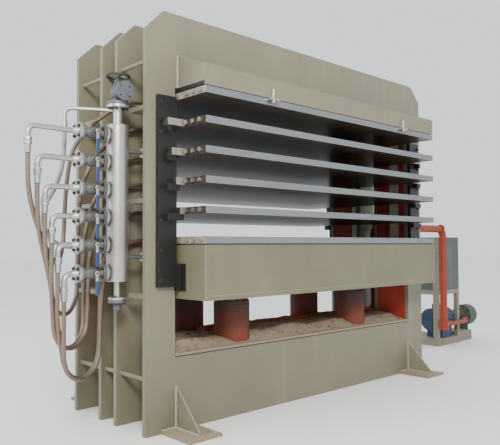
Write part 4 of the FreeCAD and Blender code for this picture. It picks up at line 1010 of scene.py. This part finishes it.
@dataclass
class HoseSet:
    """The six steam hoses and the return hose."""

    finishes: Finishes
    lengths: list[float] = field(default_factory=lambda: [2.306, 2.535, 2.513, 2.140, 2.102, 1.737])
    return_length: float = 1.172
    routes: list[list[Point]] = field(default_factory=lambda: [
        [(-2.298, -0.3, 1.755), (-2.298, -0.3, 1.655), (-2.285, -0.288, 1.53), (-2.245, -0.264, 1.4),
         (-2.19, -0.235, 1.285), (-2.125, -0.2, 1.175), (-2.056, -0.125, 1.1), (-1.972, -0.031, 1.111),
         (-1.912, 0.039, 1.203), (-1.902, 0.045, 1.345), (-1.908, 0.02, 1.49), (-1.917, -0.02, 1.64),
         (-1.912, -0.055, 1.785), (-1.87, -0.08, 1.91), (-1.795, -0.1, 2.005), (-1.705, -0.125, 2.085),
         (-1.605, -0.152, 2.16), (-1.5, -0.165, 2.2055), (-1.4, -0.165, 2.2055)],
        [(-2.239, -0.3, 1.579), (-2.239, -0.3, 1.47), (-2.226, -0.284, 1.34), (-2.186, -0.252, 1.21),
         (-2.14, -0.222, 1.085), (-2.104, -0.2, 0.965), (-2.08, -0.184, 0.85), (-1.998, -0.118, 0.77),
         (-1.895, -0.038, 0.775), (-1.822, 0.018, 0.87), (-1.822, 0.012, 1.01), (-1.832, -0.012, 1.16),
         (-1.844, -0.038, 1.31), (-1.85, -0.06, 1.46), (-1.84, -0.08, 1.6), (-1.8, -0.1, 1.73),
         (-1.73, -0.125, 1.845), (-1.64, -0.15, 1.935), (-1.54, -0.165, 1.995), (-1.47, -0.165, 2.0135),
         (-1.4, -0.165, 2.0135)],
        [(-2.191, -0.3, 1.403), (-2.191, -0.3, 1.295), (-2.178, -0.284, 1.18), (-2.144, -0.258, 1.065),
         (-2.114, -0.234, 0.945), (-2.096, -0.214, 0.8), (-2.085, -0.205, 0.655), (-2.001, -0.162, 0.567),
         (-1.889, -0.097, 0.567), (-1.807, -0.049, 0.656), (-1.802, -0.044, 0.8), (-1.808, -0.05, 0.95),
         (-1.816, -0.06, 1.1), (-1.816, -0.074, 1.25), (-1.8, -0.092, 1.4), (-1.762, -0.114, 1.53),
         (-1.7, -0.138, 1.64), (-1.62, -0.156, 1.735), (-1.53, -0.165, 1.8), (-1.465, -0.165, 1.8215),
         (-1.4, -0.165, 1.8215)],
        [(-2.147, -0.3, 1.227), (-2.147, -0.3, 1.115), (-2.136, -0.276, 0.975), (-2.114, -0.25, 0.82),
         (-2.098, -0.241, 0.662), (-2.003, -0.199, 0.567), (-1.89, -0.136, 0.567),
         (-1.803, -0.086, 0.656), (-1.796, -0.084, 0.79), (-1.796, -0.092, 0.93), (-1.797, -0.102, 1.07),
         (-1.787, -0.115, 1.21), (-1.755, -0.132, 1.345), (-1.7, -0.148, 1.46), (-1.625, -0.16, 1.555),
         (-1.535, -0.165, 1.612), (-1.468, -0.165, 1.6295), (-1.4, -0.165, 1.6295)],
        [(-2.107, -0.3, 1.051), (-2.107, -0.3, 0.93), (-2.102, -0.283, 0.805), (-2.083, -0.266, 0.69),
         (-2.058, -0.253, 0.58), (-2.04, -0.248, 0.469), (-1.954, -0.214, 0.377), (-1.832, -0.168, 0.377),
         (-1.746, -0.135, 0.469), (-1.738, -0.136, 0.6), (-1.734, -0.136, 0.74), (-1.731, -0.13, 0.88),
         (-1.722, -0.13, 1.015), (-1.697, -0.142, 1.145), (-1.65, -0.157, 1.272), (-1.592, -0.165, 1.378),
         (-1.5, -0.165, 1.4375), (-1.4, -0.165, 1.4375)],
        [(-2.067, -0.3, 0.875), (-2.067, -0.3, 0.775), (-2.062, -0.29, 0.622), (-2.055, -0.285, 0.469),
         (-1.969, -0.252, 0.377), (-1.847, -0.206, 0.377), (-1.761, -0.173, 0.469), (-1.751, -0.169, 0.6),
         (-1.749, -0.165, 0.73), (-1.741, -0.167, 0.86), (-1.718, -0.166, 0.985), (-1.664, -0.165, 1.095),
         (-1.584, -0.165, 1.195), (-1.49, -0.165, 1.2455), (-1.4, -0.165, 1.2455)],
    ])
    return_route: list[Point] = field(default_factory=lambda: [
        (-1.998, -0.15, 1.955), (-1.998, -0.15, 1.835), (-2.004, -0.132, 1.7), (-2.024, -0.07, 1.57),
        (-2.05, 0.02, 1.475), (-2.04, 0.08, 1.37), (-1.985, 0.102, 1.26), (-1.885, 0.08, 1.203),
        (-1.765, -0.02, 1.195), (-1.63, -0.02, 1.195),
    ])

    def build(self) -> list[bpy.types.Object]:
        """Builds every hose.

        Returns:
            The hoses.
        """
        made = []
        for number, (route, length) in enumerate(zip(self.routes, self.lengths), start=1):
            hose = Hose(f"steam_hose_{number}", route, length, self.finishes.hose_tan, "hose_braid",
                        body_of_platen(number))
            made.append(hose.build())
        made.append(Hose("return_hose", self.return_route, self.return_length, self.finishes.hose_grey,
                         "hose_grey").build())
        return made


# --------------------------------------------------------------------- studio


@dataclass(frozen=True)
class Lamp:
    """A soft square lamp: where it hangs, the point it shines at, its side, its power and its colour."""

    name: str
    place: Point
    aim: Point
    size: float
    watts: float
    colour: Colour

    def hang(self) -> None:
        """Hangs it in the scene."""
        data = bpy.data.lights.new(self.name, "AREA")
        data.shape = "SQUARE"
        data.size = self.size
        data.energy = self.watts
        data.color = self.colour
        lamp = bpy.data.objects.new(self.name, data)
        turn = (Vector(self.aim) - Vector(self.place)).to_track_quat("-Z", "Y").to_matrix().to_4x4()
        lamp.matrix_world = Matrix.Translation(self.place) @ turn
        bpy.context.scene.collection.objects.link(lamp)


@dataclass
class Studio:
    """Floor, lights and camera."""

    finishes: Finishes
    camera_at: Point = (-3.7625, -3.7853, 1.2042)
    heading: float = 42.79
    rise: float = 2.20
    roll: float = -0.257
    lens: float = 44.16
    sensor: float = 36.0
    far_sight: float = 200.0
    floor_half: float = 60.0
    floor_level: float = -0.001
    sky_colour: Colour = (0.93, 0.96, 1.0)
    sky_strength: float = 1.25
    lamps: tuple[Lamp, ...] = (
        Lamp("key", place=(-6.5, -8.0, 6.2), aim=(0.0, 0.0, 1.2), size=2.2, watts=1150.0,
             colour=(1.0, 0.96, 0.90)),
        Lamp("fill", place=(-8.0, 2.0, 4.5), aim=(-1.5, 0.0, 1.2), size=5.0, watts=260.0,
             colour=(0.95, 0.97, 1.0)),
    )

    def build(self) -> None:
        """Sets the studio up."""
        self.camera()
        self.floor()
        self.lights()

    def camera(self) -> None:
        """Puts the camera where the press is seen from its front left."""
        data = bpy.data.cameras.new("camera")
        data.sensor_width = self.sensor
        data.lens = self.lens
        data.clip_end = self.far_sight
        holder = bpy.data.objects.new("camera", data)
        aim = Matrix.Rotation(math.radians(-self.heading), 4, "Z")
        tilt = Matrix.Rotation(math.radians(90 + self.rise), 4, "X")
        turn = aim @ tilt @ Matrix.Rotation(math.radians(self.roll), 4, "Z")
        holder.matrix_world = Matrix.Translation(self.camera_at) @ turn
        bpy.context.scene.collection.objects.link(holder)
        bpy.context.scene.camera = holder

    def floor(self) -> None:
        """Lays the floor."""
        mesh = bmesh.new()
        bmesh.ops.create_grid(mesh, x_segments=1, y_segments=1, size=self.floor_half)
        bmesh.ops.translate(mesh, verts=mesh.verts, vec=(0.0, 0.0, self.floor_level))
        finished("floor", mesh, self.finishes.floor)

    def lights(self) -> None:
        """Hangs one large key light, a fill and a pale sky."""
        world = bpy.data.worlds.new("sky")
        world.use_nodes = True
        sky = world.node_tree.nodes["Background"]
        sky.inputs["Color"].default_value = (*self.sky_colour, 1.0)
        sky.inputs["Strength"].default_value = self.sky_strength
        bpy.context.scene.world = world
        for lamp in self.lamps:
            lamp.hang()


# ---------------------------------------------------------------- loose detail

# A bolt head's width across flats and its height.
M12_HEAD = (0.018, 0.009)
M14_HEAD = (0.021, 0.012)
RAIL_HEAD = (0.022, 0.013)
GLAND_HEAD = (0.015, 0.008)
DRUM_HEAD = (0.020, 0.011)
BELL_HEAD = (0.013, 0.007)


def bolt(work: Workpiece, axis: Axis, face: float, across: tuple[float, float],
         head: tuple[float, float] = M12_HEAD, outward: int = 1, turn: float = 0.0) -> None:
    """Adds a washer and a hexagonal head, with the end of a stud in it.

    Args:
        work: the workpiece that it joins.
        axis: the bolt's direction.
        face: where the face that it sits on lies.
        across: its centre on the other two axes.
        head: its width across flats and its height.
        outward: 1 if it stands towards the axis's high end, or -1.
        turn: a turn about its own axis, in degrees.
    """
    flats, height = head

    def span(near: float, far: float) -> tuple[float, float]:
        """Two distances from the face, in rising order along the axis."""
        return tuple(sorted((face + outward * near, face + outward * far)))

    work.bar(axis, span(-0.001, 0.0018), across, flats * 0.66, 0.0004, 20)
    work.hexagon(axis, span(0.0015, height), across, flats, turn)
    work.bar(axis, span(height - 0.001, height + 0.003), across, flats * 0.30, 0.0006, 12)


def ring_places(centre: tuple[float, float], radius: float, count: int,
                first: float) -> list[tuple[float, float]]:
    """Evenly spaced places on a circle, the first at an angle in degrees."""
    turns = (math.radians(first + 360 / count * n) for n in range(count))
    return [(centre[0] + radius * math.cos(t), centre[1] + radius * math.sin(t)) for t in turns]


@dataclass
class HeaderTrim:
    """The steam header's valves, levers, bolts, unions and rings.

    Lengths along a valve's stem are counted from the header's axis towards the front, and those of a
    union from its branch's axis downwards.
    """

    finishes: Finishes
    header: tuple[float, float] = (-1.703, -0.300)
    header_radius: float = 0.0695
    header_seams: tuple[float, float] = (0.984, 1.987)
    top: float = 1.920
    pitch: float = 0.176
    valve_end: float = -1.807
    valve_length: float = 0.165
    half_gasket: float = 0.0005
    flange: float = 0.0165
    bolt_circle: float = 0.0425
    main_flanges: tuple[float, float] = (2.102, 2.141)
    main_circle: float = 0.055
    drain_flanges: tuple[float, float] = (0.845, 0.880)
    neck_seat: float = 0.016
    neck_length: float = 0.046
    packing_nut: tuple[float, float] = (0.060, 0.071)
    stem: tuple[float, float] = (0.070, 0.088)
    stem_nut: tuple[float, float] = (0.0865, 0.093)
    lever_faces: tuple[float, float] = (-0.386, -0.376)
    arm: tuple[float, float] = (0.006, 0.050)
    arm_half_width: float = 0.0095
    grip_end: float = 0.136
    grip_flatness: float = 0.42
    elbows: tuple[float, ...] = (-2.298, -2.239, -2.191, -2.147, -2.107, -2.067)
    union_nut: tuple[float, float] = (0.074, 0.096)
    ferrule_nut: tuple[float, float] = (0.103, 0.117)
    first_crimp: float = 0.126
    crimp_pitch: float = 0.013
    crimp_radius: float = 0.0178

    def build(self) -> None:
        """Builds them all."""
        self.valves()
        self.bolts()
        self.unions()
        for number in range(1, PLATENS + 1):
            self.lever(number)

    @property
    def stem_x(self) -> float:
        """Where the valves' stems stand along X."""
        return self.valve_end - self.valve_length / 2

    def level(self, number: int) -> float:
        """A branch's height, counted from the top."""
        return self.top - self.pitch * (number - 1)

    def ahead(self, reach: tuple[float, float]) -> tuple[float, float]:
        """Two distances in front of the header's axis, as a span along Y."""
        return self.header[1] - reach[1], self.header[1] - reach[0]

    def valves(self) -> None:
        """Turns the six valve bodies, with raised faces, a swollen middle, a neck and a packing nut."""
        body = [(0.0, 0.0), (0.0, 0.034), (0.002, 0.035), (0.0022, 0.0565), (0.004, 0.0575), (0.014, 0.0575),
                (0.016, 0.0560), (0.0165, 0.032), (0.026, 0.0255), (0.044, 0.0265), (0.054, 0.034),
                (0.070, 0.0375)]
        outline = body + [(self.valve_length - along, radius) for along, radius in reversed(body)]
        neck = [(0.0, 0.021), (0.026, 0.019), (0.030, 0.024), (0.038, 0.024), (0.040, 0.017), (0.046, 0.016)]
        neck_outline = [(self.neck_length - along, radius) for along, radius in reversed(neck)]
        neck_start = self.header[1] - self.neck_seat - self.neck_length
        work = Workpiece()
        for number in range(1, PLATENS + 1):
            level = self.level(number)
            stem = (self.stem_x, level)
            work.turned(Axis.X, self.valve_end - self.valve_length, (self.header[1], level), outline)
            work.turned(Axis.Y, neck_start, stem, neck_outline, 28)
            work.hexagon(Axis.Y, self.ahead(self.packing_nut), stem, 0.024)
            work.bar(Axis.Y, self.ahead(self.stem), stem, 0.0078, 0.0008, 20)
            work.hexagon(Axis.Y, self.ahead(self.stem_nut), stem, 0.015)
        work.done("valve_bodies", self.finishes.flange_grey, replaces=["branch_valves"])

    def bolts(self) -> None:
        """Bolts every flange joint of the header."""
        work = Workpiece()
        joints = (self.valve_end + self.half_gasket, self.valve_end - self.valve_length - self.half_gasket)
        for number in range(1, PLATENS + 1):
            centre = (self.header[1], self.level(number))
            for joint in joints:
                for place in ring_places(centre, self.bolt_circle, 4, 45):
                    bolt(work, Axis.X, joint + self.flange, place, turn=number * 17)
                    bolt(work, Axis.X, joint - self.flange, place, outward=-1, turn=number * 23)
        for (low, high), circle, head in ((self.main_flanges, self.main_circle, M14_HEAD),
                                          (self.drain_flanges, self.bolt_circle, M12_HEAD)):
            for place in ring_places(self.header, circle, 4, 45):
                bolt(work, Axis.Z, high, place, head)
                bolt(work, Axis.Z, low, place, head, outward=-1)
        work.done("joint_bolts", self.finishes.black_bolt, replaces=["flange_bolts"])

    def unions(self) -> None:
        """Adds the unions' nuts, the ferrules' crimped rings, and the header's end seams."""
        nuts = Workpiece()
        rings = Workpiece()
        for number, x in enumerate(self.elbows, start=1):
            level = self.level(number)
            place = (x, self.header[1])
            for (near, far), flats, turn in ((self.union_nut, 0.0438, 19), (self.ferrule_nut, 0.042, 31)):
                nuts.hexagon(Axis.Z, (level - far, level - near), place, flats, (number - 1) * turn)
            for n in range(3):
                crimp = level - self.first_crimp - self.crimp_pitch * n
                rings.hoop((*place, crimp), Axis.Z, self.crimp_radius, 0.0022, 28)
        for z in self.header_seams:
            rings.hoop((*self.header, z), Axis.Z, self.header_radius, 0.0032, 56)
        nuts.done("union_nuts", self.finishes.zinc)
        rings.done("ferrule_rings", self.finishes.header_silver)

    def lever(self, number: int) -> None:
        """Forms one lever: a pale hub and arm, and the blue sleeve that a hand takes.

        Args:
            number: its branch's number, from the top.
        """
        level = self.level(number)
        near, far = self.lever_faces
        arm = Workpiece()
        arm.bar(Axis.Y, (near, far), (self.stem_x, level), 0.016, 0.0015, 32)
        arm.block((self.stem_x - self.arm_half_width, near + 0.003, level - self.arm[1]),
                  (self.stem_x + self.arm_half_width, far - 0.001, level - self.arm[0]), 0.0012)
        arm.done(f"lever_arm_{number}", self.finishes.zinc, f"lever_{number}")
        grip = Workpiece()
        outline = [(0.0, 0.0), (0.0, 0.006), (0.004, 0.0105), (0.016, 0.0125), (0.060, 0.0125),
                   (0.084, 0.0110), (0.090, 0.0090), (0.092, 0.0)]
        middle = (near + far) / 2
        grip.turned(Axis.Z, level - self.grip_end, (self.stem_x, middle), outline, 24)
        bmesh.ops.scale(grip.mesh, verts=grip.mesh.verts, vec=(1.0, self.grip_flatness, 1.0),
                        space=Matrix.Translation((0, -middle, 0)))
        grip.done(f"lever_grip_{number}", self.finishes.lever_blue, f"lever_{number}",
                  [f"valve_lever_{number}"])


@dataclass
class PressTrim:
    """Bolts and nuts on the rails, the glands and the platens."""

    finishes: Finishes
    rail_face: float = 0.506
    rail_bolt_x: float = 1.506
    rail_bolt_inset: float = 0.05
    bolts_per_rail: int = 7
    cylinders: tuple[float, float] = (0.710, 0.2775)
    gland_top: float = 0.800
    gland_circle: float = 0.1225
    wiper_radius: float = 0.1118
    barrel_top: float = 0.770
    barrel_radius: float = 0.1335
    hose_row: float = -0.165
    platen_end: float = -1.350
    nipple_nut: tuple[float, float] = (0.022, 0.002)
    nipple_collar: tuple[float, float] = (0.047, 0.029)

    def build(self) -> None:
        """Builds them all."""
        self.rail_bolts()
        self.glands()
        for number in range(1, PLATENS + 1):
            self.platen_nipple(number)

    def rail_bolts(self) -> None:
        """Bolts the rails to the frame along their outer edge, clear of the lugs that rise past them."""
        work = Workpiece()
        low, high = corners("guide_rails")
        step = (high.z - low.z - 2 * self.rail_bolt_inset) / (self.bolts_per_rail - 1)
        for side in Side:
            for face in Face:
                for n in range(self.bolts_per_rail):
                    place = (self.rail_bolt_x * side.value, low.z + self.rail_bolt_inset + step * n)
                    bolt(work, Axis.Y, self.rail_face * face.value, place, RAIL_HEAD, face.value, 13 * n)
        work.done("rail_bolts", self.finishes.black_bolt)

    def glands(self) -> None:
        """Bolts the cylinders' glands, and puts a wiper ring round each ram."""
        work = Workpiece()
        rings = Workpiece()
        for x in (-self.cylinders[0], self.cylinders[0]):
            for y in (-self.cylinders[1], self.cylinders[1]):
                for place in ring_places((x, y), self.gland_circle, 12, 15):
                    bolt(work, Axis.Z, self.gland_top, place, GLAND_HEAD)
                rings.hoop((x, y, self.gland_top + 0.001), Axis.Z, self.wiper_radius, 0.0035, 64)
                rings.hoop((x, y, self.barrel_top), Axis.Z, self.barrel_radius, 0.0040, 72)
        work.done("gland_bolts", self.finishes.black_bolt)
        rings.done("gland_rings", self.finishes.gasket)

    def platen_nipple(self, number: int) -> None:
        """Puts the hexagonal nut and the collar on a platen's steam nipple.

        Args:
            number: the platen's number, from the top.
        """
        low, high = corners(f"platen_{number}")
        place = (self.hose_row, (low.z + high.z) / 2)
        work = Workpiece()
        for reach, flats, turn in ((self.nipple_nut, 0.043, 8), (self.nipple_collar, 0.040, 25)):
            span = (self.platen_end - reach[0], self.platen_end - reach[1])
            work.hexagon(Axis.X, span, place, flats, turn)
        work.done(f"nipple_nut_{number}", self.finishes.brass, body_of_platen(number))


def ramp(value: float, start: float, end: float) -> float:
    """0 up to the start, 1 from the end on, and a straight rise between them."""
    return min(1.0, max(0.0, (value - start) / (end - start)))


@dataclass
class SandBed:
    """Sand, scale and chips that have gathered on the deck, deepest along its middle."""

    finishes: Finishes
    low: tuple[float, float] = (-1.366, -0.4700)
    high: tuple[float, float] = (1.366, 0.4700)
    deck: float = 0.494
    deepest: float = 0.058
    thinnest: float = 0.0006
    grid: tuple[int, int] = (300, 104)
    chip_count: int = 330

    def depth(self, x: float, y: float) -> float:
        """How deep the sand lies at a place.

        Args:
            x: the place along X.
            y: the place along Y.

        Returns:
            The depth.
        """
        rise = ramp(y, -0.462, -0.312)
        fall = 1.0 - ramp(y, 0.02, 0.24)
        ends = ramp(self.high[0] - abs(x), 0.0, 0.10)
        ragged = noise.fractal((x * 9.0, y * 9.0, 3.1), 0.7, 2.1, 5)
        broad = noise.fractal((x * 2.1, y * 2.6, 8.7), 0.8, 2.0, 3)
        body = self.deepest * rise * rise * (0.25 + 0.75 * fall) * (0.45 + 0.55 * ends)
        return max(self.thinnest, body * (1.0 + 0.42 * broad) + 0.010 * ragged * (0.25 + rise) + 0.003)

    def build(self) -> None:
        """Heaps the bed and scatters chips over it."""
        work = Workpiece()
        bmesh.ops.create_grid(work.mesh, x_segments=self.grid[0], y_segments=self.grid[1], size=0.5)
        for vert in work.mesh.verts:
            x = self.low[0] + (vert.co.x + 0.5) * (self.high[0] - self.low[0])
            y = self.low[1] + (vert.co.y + 0.5) * (self.high[1] - self.low[1])
            vert.co = (x, y, self.deck + self.depth(x, y))
        rim = [edge for edge in work.mesh.edges if edge.is_boundary]
        skirt, _ = grow(work.mesh, rim)
        for vert in skirt:
            vert.co.z = self.deck - 0.001
        work.done("sand_bed", self.finishes.grit, smooth=80.0)
        self.chips()

    def chips(self) -> None:
        """Scatters chips and lumps."""
        dice = random.Random(11)
        work = Workpiece()
        for _ in range(self.chip_count):
            x, y = dice.uniform(-1.33, 1.33), dice.uniform(-0.45, 0.10)
            size = dice.uniform(0.003, 0.011)
            angle = dice.uniform(0, 6.28)
            turn = Matrix.Rotation(angle, 4, Vector((dice.random(), dice.random(), 0.4)).normalized())
            place = Matrix.Translation((x, y, self.deck + self.depth(x, y) + size * 0.2))
            shares = (dice.uniform(0.7, 1.9), dice.uniform(0.6, 1.2), dice.uniform(0.3, 0.8))
            flat = Matrix.Diagonal((*shares, 1.0))
            bmesh.ops.create_icosphere(work.mesh, subdivisions=1, radius=size, matrix=place @ turn @ flat)
        work.done("deck_chips", self.finishes.chips, smooth=20.0)


@dataclass
class Seams:
    """Weld seams on the frame, the feet, the crown and the table."""

    finishes: Finishes
    plate_face: float = 0.472
    crown_half_length: float = 1.345
    crown_top: float = 2.481
    crown_lows: tuple[float, float] = (2.264, 2.300)
    crown_end: float = 1.353
    crown_face: float = -0.474
    deck_half_length: float = 1.368
    deck_joint: float = 0.4800
    post_face: float = 1.597
    ribs: tuple[float, ...] = (0.884, 1.501, 2.108)
    rib_faces: tuple[float, ...] = (-0.437, -0.118)
    foot_face: float = 0.473
    gusset: tuple[float, float] = (1.352, 1.364)
    gusset_reach: float = 0.722
    gusset_top: float = 0.286
    sole: tuple[float, float] = (1.222, 1.478)
    sole_top: float = 0.0215

    def build(self) -> None:
        """Lays them all."""
        painted = Workpiece()
        bright = Workpiece()
        for side in Side:
            self.post(painted, side)
            for face in Face:
                self.foot(bright, side, face)
        dark = Workpiece()
        for face in Face:
            y = self.plate_face * face.value
            for work, reach, z, width in ((painted, self.crown_half_length, self.crown_top, 0.009),
                                          (dark, self.deck_half_length, self.deck_joint, 0.0075)):
                work.bead((-reach, y, z), (reach, y, z), width)
        dark.done("deck_joint", self.finishes.gasket, smooth=50.0)
        for side, low, width in zip(Side, self.crown_lows, (0.010, 0.008)):
            x = self.crown_end * side.value
            bright.bead((x, self.crown_face, low), (x, self.crown_face, self.crown_top), width)
        painted.done("frame_seams", self.finishes.painted_seam, smooth=50.0)
        bright.done("foot_seams", self.finishes.seam, smooth=50.0)
        self.table()

    def table(self) -> None:
        """Lays the seams on the table's front corners and along its foot."""
        work = Workpiece()
        low, high = corners("table_beam")
        for x in (low.x, high.x):
            work.bead((x, low.y + 0.003, low.z + 0.004), (x, low.y + 0.003, high.z - 0.004), 0.007)
        y, z = low.y + 0.002, low.z + 0.030
        work.bead((low.x + 0.004, y, z), (high.x - 0.004, y, z), 0.006)
        work.done("table_seams", self.finishes.painted_seam, TABLE_BODY, smooth=50.0)

    def post(self, work: Workpiece, side: Side) -> None:
        """Lays the seams where the spacer ribs meet the post of the first two plates.

        Args:
            work: the workpiece that they join.
            side: the end of the press.
        """
        x = self.post_face * side.value
        for rib in self.ribs:
            for y in self.rib_faces:
                work.bead((x - 0.06 * side.value, y, rib + 0.031), (x, y, rib + 0.031), 0.008)

    def foot(self, work: Workpiece, side: Side, face: Face) -> None:
        """Lays the seams round one gusset and along its sole.

        Args:
            work: the workpiece that they join.
            side: the end of the press.
            face: its long side.
        """
        y = self.foot_face * face.value
        for x in self.gusset:
            edge = x * side.value
            work.bead((edge, y, self.sole_top), (edge, self.gusset_reach * face.value, self.sole_top), 0.010)
            work.bead((edge, y, self.sole_top + 0.0005), (edge, y, self.gusset_top), 0.010)
        near, far = (x * side.value for x in self.sole)
        work.bead((near, y, self.sole_top), (far, y, self.sole_top), 0.011)


@dataclass
class OilUnitTrim:
    """Fins, lids, bolts and the tank's cap."""

    finishes: Finishes
    axis: tuple[float, float] = (0.230, 0.300)
    fins: int = 34
    fin_circle: float = 0.128
    fin_ends: tuple[float, float] = (3.022, 3.268)
    cowl_face: float = 2.9285
    cowl_rings: tuple[float, ...] = (0.030, 0.050, 0.070, 0.090, 0.110)
    drum_ribs: tuple[float, ...] = (3.700, 3.740, 3.780, 3.820)
    drum_radius: float = 0.1285
    drum_face: float = 3.690
    drum_circle: float = 0.112
    bell_face: float = 3.600
    bell_circle: float = 0.036
    tank_top: float = 1.300
    tank_low: float = 0.66
    post_side: float = 0.052
    lid: tuple[Point, Point] = ((3.055, 0.178, 0.4745), (3.175, 0.282, 0.4815))
    cap: Point = (2.983, 0.628, 1.329)
    cap_radius: float = 0.048

    def build(self) -> None:
        """Builds them all."""
        self.motor()
        self.pump()
        self.tank()

    def motor(self) -> None:
        """Fins along the motor's shell, a grille on its cowl and a lid on its terminal box."""
        fins = Workpiece()
        start, end = self.fin_ends
        for n in range(self.fins):
            turn = math.radians(360 / self.fins * n)
            if math.sin(turn) < -0.80:
                continue
            y, z = (c + self.fin_circle * f for c, f in zip(self.axis, (math.cos(turn), math.sin(turn))))
            first = len(fins.mesh.verts)
            fins.block((start, -0.0018, -0.0070), (end, 0.0018, 0.0070), 0.0007)
            fins.mesh.verts.ensure_lookup_table()
            place = Matrix.Translation((0, y, z)) @ Matrix.Rotation(turn - math.pi / 2, 4, "X")
            bmesh.ops.transform(fins.mesh, matrix=place, verts=fins.mesh.verts[first:])
        for radius in self.cowl_rings:
            fins.hoop((self.cowl_face, *self.axis), Axis.X, radius, 0.0022)
        fins.block(*self.lid, 0.002)
        fins.done("motor_fins", self.finishes.motor_blue)

    def pump(self) -> None:
        """Ribs round the pump's drum and bolts on its face."""
        ribs = Workpiece()
        for x in self.drum_ribs:
            ribs.hoop((x, *self.axis), Axis.X, self.drum_radius, 0.0040, 64)
        ribs.done("pump_ribs", self.finishes.pump_green)
        bolts = Workpiece()
        for place in ring_places(self.axis, self.drum_circle, 8, 10):
            bolt(bolts, Axis.X, self.drum_face, place, DRUM_HEAD, -1)
        for place in ring_places(self.axis, self.bell_circle, 4, 45):
            bolt(bolts, Axis.X, self.bell_face, place, BELL_HEAD, -1)
        bolts.done("pump_bolts", self.finishes.black_bolt)

    def tank(self) -> None:
        """The tank's seams and its filler cap."""
        low, high = corners("oil_tank")
        seams = Workpiece()
        rim = self.tank_top - 0.002
        seams.bead((low.x + self.post_side, low.y, rim), (high.x, low.y, rim), 0.006)
        seams.bead((high.x, low.y, self.tank_low), (high.x, low.y, self.tank_top), 0.006)
        seams.done("tank_seams", self.finishes.tank_painted_shade_grey, smooth=50.0)
        cap = Workpiece()
        x, y, foot = self.cap
        outline = [(0.0, 0.0), (0.0, 0.046), (0.006, 0.048), (0.026, 0.048), (0.031, 0.044), (0.033, 0.020),
                   (0.036, 0.0)]
        cap.turned(Axis.Z, foot, (x, y), outline, 48)
        for place in ring_places((x, y), self.cap_radius, 16, 0):
            cap.bar(Axis.Z, (foot + 0.006, foot + 0.026), place, 0.003, 0.001, 8)
        cap.done("filler_cap", self.finishes.wheel_dark)


@dataclass
class BareNodes:
    """The frame's own nodes that show as they are, with their finishes."""

    finishes: Finishes

    def build(self) -> None:
        """Dresses them all."""
        f = self.finishes
        dress(f.frame_paint, *(f"frame_plate_{n}" for n in range(1, 5)), "plate_ties", "crown_overhangs")
        dress(f.table_paint, "table_beam")
        dress(f.foot_paint, "feet")
        dress(f.deck_paint, "deck_plate")
        dress(f.liner_red, "side_liners")
        dress(f.red_oxide, "cylinders", "cylinder_glands")
        dress(f.ram_steel, "rams")
        dress(f.guide_steel, "platen_side_guides")
        dress(f.platen_steel, *(f"platen_{n}" for n in range(2, PLATENS)))
        dress(f.end_platen_steel, "platen_1", f"platen_{PLATENS}")
        dress(f.plug_steel, *(f"platen_{n}_fittings" for n in range(2, PLATENS)))
        dress(f.plug_painted, "platen_1_fittings", f"platen_{PLATENS}_fittings")
        dress(f.rail_black, "guide_rails", "ladder_steps", "table_shoes", "bolster_plate")
        dress(f.board, "crown_insulation", "table_insulation")
        dress(f.zinc, "crown_clamps", "drive_coupling")
        dress(f.header_silver, "steam_header", "branch_pipes", "return_pipe")
        dress(f.valve_dark, "header_fittings")
        dress(f.gasket, "header_gaskets")
        dress(f.wheel_dark, "header_handwheel")
        dress(f.oil_red, "oil_pipe")
        dress(f.unit_taupe, "unit_stand")
        dress(f.tank_painted_shade_grey, "oil_tank")
        dress(f.motor_blue, "drive_motor")
        dress(f.pump_green, "oil_pump")


def main() -> None:
    """Builds the studio, dresses the frame and adds every piece."""
    logging.basicConfig(level=logging.INFO, format="%(name)s: %(message)s")
    finishes = Finishes()
    Studio(finishes).build()
    for hose in HoseSet(finishes).build():
        log.info("%s: %d faces", hose.name, len(hose.data.polygons))
    for part in (HeaderTrim, PressTrim, SandBed, Seams, OilUnitTrim):
        part(finishes).build()
    BareNodes(finishes).build()


if __name__ == "__main__":
    main()
